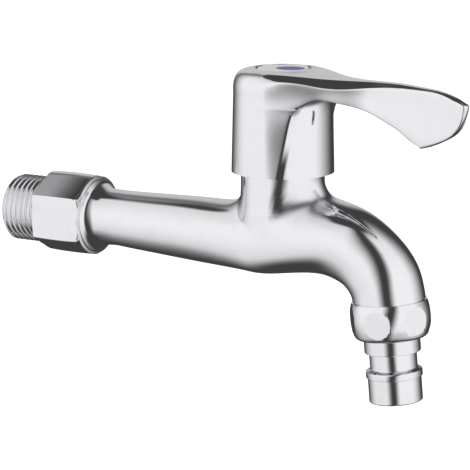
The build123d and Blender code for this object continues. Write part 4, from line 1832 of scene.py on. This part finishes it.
@dataclass
class OutletNut:
    """Round-backed hexagon nut at the outlet, distances below the spout's shoulder in millimetres.

    Attributes:
        ball_r: radius of the ball that the nut's back is cut to.
        ball_drop: distance of that ball's centre.
        ball_end: where the ball gives way to the foot.
        ball_steps: facets along the ball.
        top: where the nut begins.
        foot: (radius, distance) pairs of the round at its foot.
        half_flats: half its width across flats.
        turn: how far the six faces are turned, in degrees.
        blank: length of the hexagon that the nut is cut to.
        blank_drop: distance of that hexagon's middle.
        thread_r: radius of its inside.
        lip_r: radius of the hole that the nozzle reaches through.
        lip_top: where the lip that holds the nozzle begins.
        bottom: where the nut ends.
        edge: round of its edges.
    """

    ball_r: float = 12.1
    ball_drop: float = 5.1
    ball_end: float = 9.6
    ball_steps: int = 8
    top: float = 0.3
    foot: Pairs = ((11.05, 10.2), (10.72, 10.75), (10.25, 11.15), (9.6, 11.37), (9.2, 11.4))
    half_flats: float = 11.367
    turn: float = 36.0
    blank: float = 40.0
    blank_drop: float = 6.0
    thread_r: float = 10.5275
    lip_r: float = 8.66
    lip_top: float = 9.9
    bottom: float = 11.4
    edge: float = 0.18

    def build(self) -> bpy.types.Object:
        """Models the nut.

        Returns:
            The nut.
        """
        ball = []
        for step in range(self.ball_steps + 1):
            drop = self.top + (self.ball_end - self.top) * step / self.ball_steps
            ball.append((math.sqrt(self.ball_r**2 - (drop - self.ball_drop) ** 2), drop))
        profile = (
            (self.thread_r, self.top),
            *ball,
            *self.foot,
            (self.lip_r, self.bottom),
            (self.lip_r, self.lip_top),
            (self.thread_r, self.lip_top),
        )
        piece = turned("outlet_nut_body", profile, OUTLET, DOWN)
        lean = math.atan2(DOWN.x, -DOWN.z)
        deselect()
        bpy.ops.mesh.primitive_cylinder_add(
            vertices=6,
            radius=self.half_flats / math.cos(math.radians(30)) * MM,
            depth=self.blank * MM,
            location=(OUTLET + DOWN * self.blank_drop) * MM,
            rotation=(0.0, -lean, math.radians(self.turn)),
        )
        cut(piece, bpy.context.object, Keep.INSIDE)
        round_edges(piece, self.edge)
        return piece


@dataclass
class HoseNozzle:
    """Turned nozzle under the nut, in millimetres.

    Attributes:
        profile: (radius, distance below the spout's shoulder) pairs, once round its wall.
        sides: facets all round.
    """

    profile: Pairs = (
        (5.7, 8.4), (6.1, 8.0), (10.0, 8.0), (10.1, 8.1), (10.1, 9.75), (9.95, 9.88), (8.36, 9.9),
        (8.36, 15.35), (8.26, 15.6), (8.05, 15.7), (7.3, 15.7), (7.1, 15.78), (7.05, 16.0),
        (7.05, 20.3), (7.1, 20.48), (8.2, 21.1), (8.36, 21.25), (8.4, 21.45), (8.4, 22.9),
        (8.3, 23.12), (8.1, 23.2), (7.95, 23.25), (7.95, 23.4), (7.95, 30.1), (7.88, 30.35),
        (7.7, 30.53), (7.45, 30.6), (6.15, 30.6), (5.85, 30.5), (5.7, 30.2),
    )
    sides: int = 128

    def build(self) -> bpy.types.Object:
        """Models the nozzle.

        Returns:
            The nozzle.
        """
        piece = turned("hose_nozzle_body", self.profile, OUTLET, DOWN, self.sides)
        weigh_normals(piece)
        return piece


def hand_over(piece: bpy.types.Object, body: str, node: str, finish: bpy.types.Material) -> None:
    """Dresses a piece and ties it to its body.

    Args:
        piece: the piece.
        body: the body that it rides.
        node: the CAD node that it takes the place of.
        finish: its material, named after its slot.
    """
    piece.data.materials.clear()
    piece.data.materials.append(finish)
    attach(piece, body)
    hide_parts(node)
    log.info("%s: %d faces for %s", piece.name, len(piece.data.polygons), node)


def dress_nodes() -> dict[str, bpy.types.Material]:
    """Gives each carried-over node the finish of its slot.

    Returns:
        All the finishes' materials, by slot.
    """
    materials = frame["record"]["materials"]
    slots = {node: entry["slot"] for entry in materials for node in entry.get("nodes", [])}
    made = {finish.name: finish.value.make() for finish in Finish}
    for name, node in frame["nodes"].items():
        slot = slots.get(name) or node.data.materials[0].name.split(".")[0]
        node.data.materials.clear()
        node.data.materials.append(made[slot])
        log.info("%s: %s", name, slot)
    return made


def main() -> None:
    """Builds the studio and the tap."""
    logging.basicConfig(level=logging.INFO, format="%(message)s")
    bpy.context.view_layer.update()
    Studio().build()
    made = dress_nodes()
    hand_over(LeverHandle().build(), "handle_set", "handle", made["chromed_handle"])
    for part in (Casting(), Hexagon(), InletThread()):
        hand_over(part.build(), "tap_body", "body", made["chromed_casting"])
    hand_over(OutletNut().build(), "nut", "outlet_nut", made["chromed_turning"])
    hand_over(HoseNozzle().build(), "nozzle", "hose_nozzle", made["chromed_turning"])


if __name__ == "__main__":
    main()
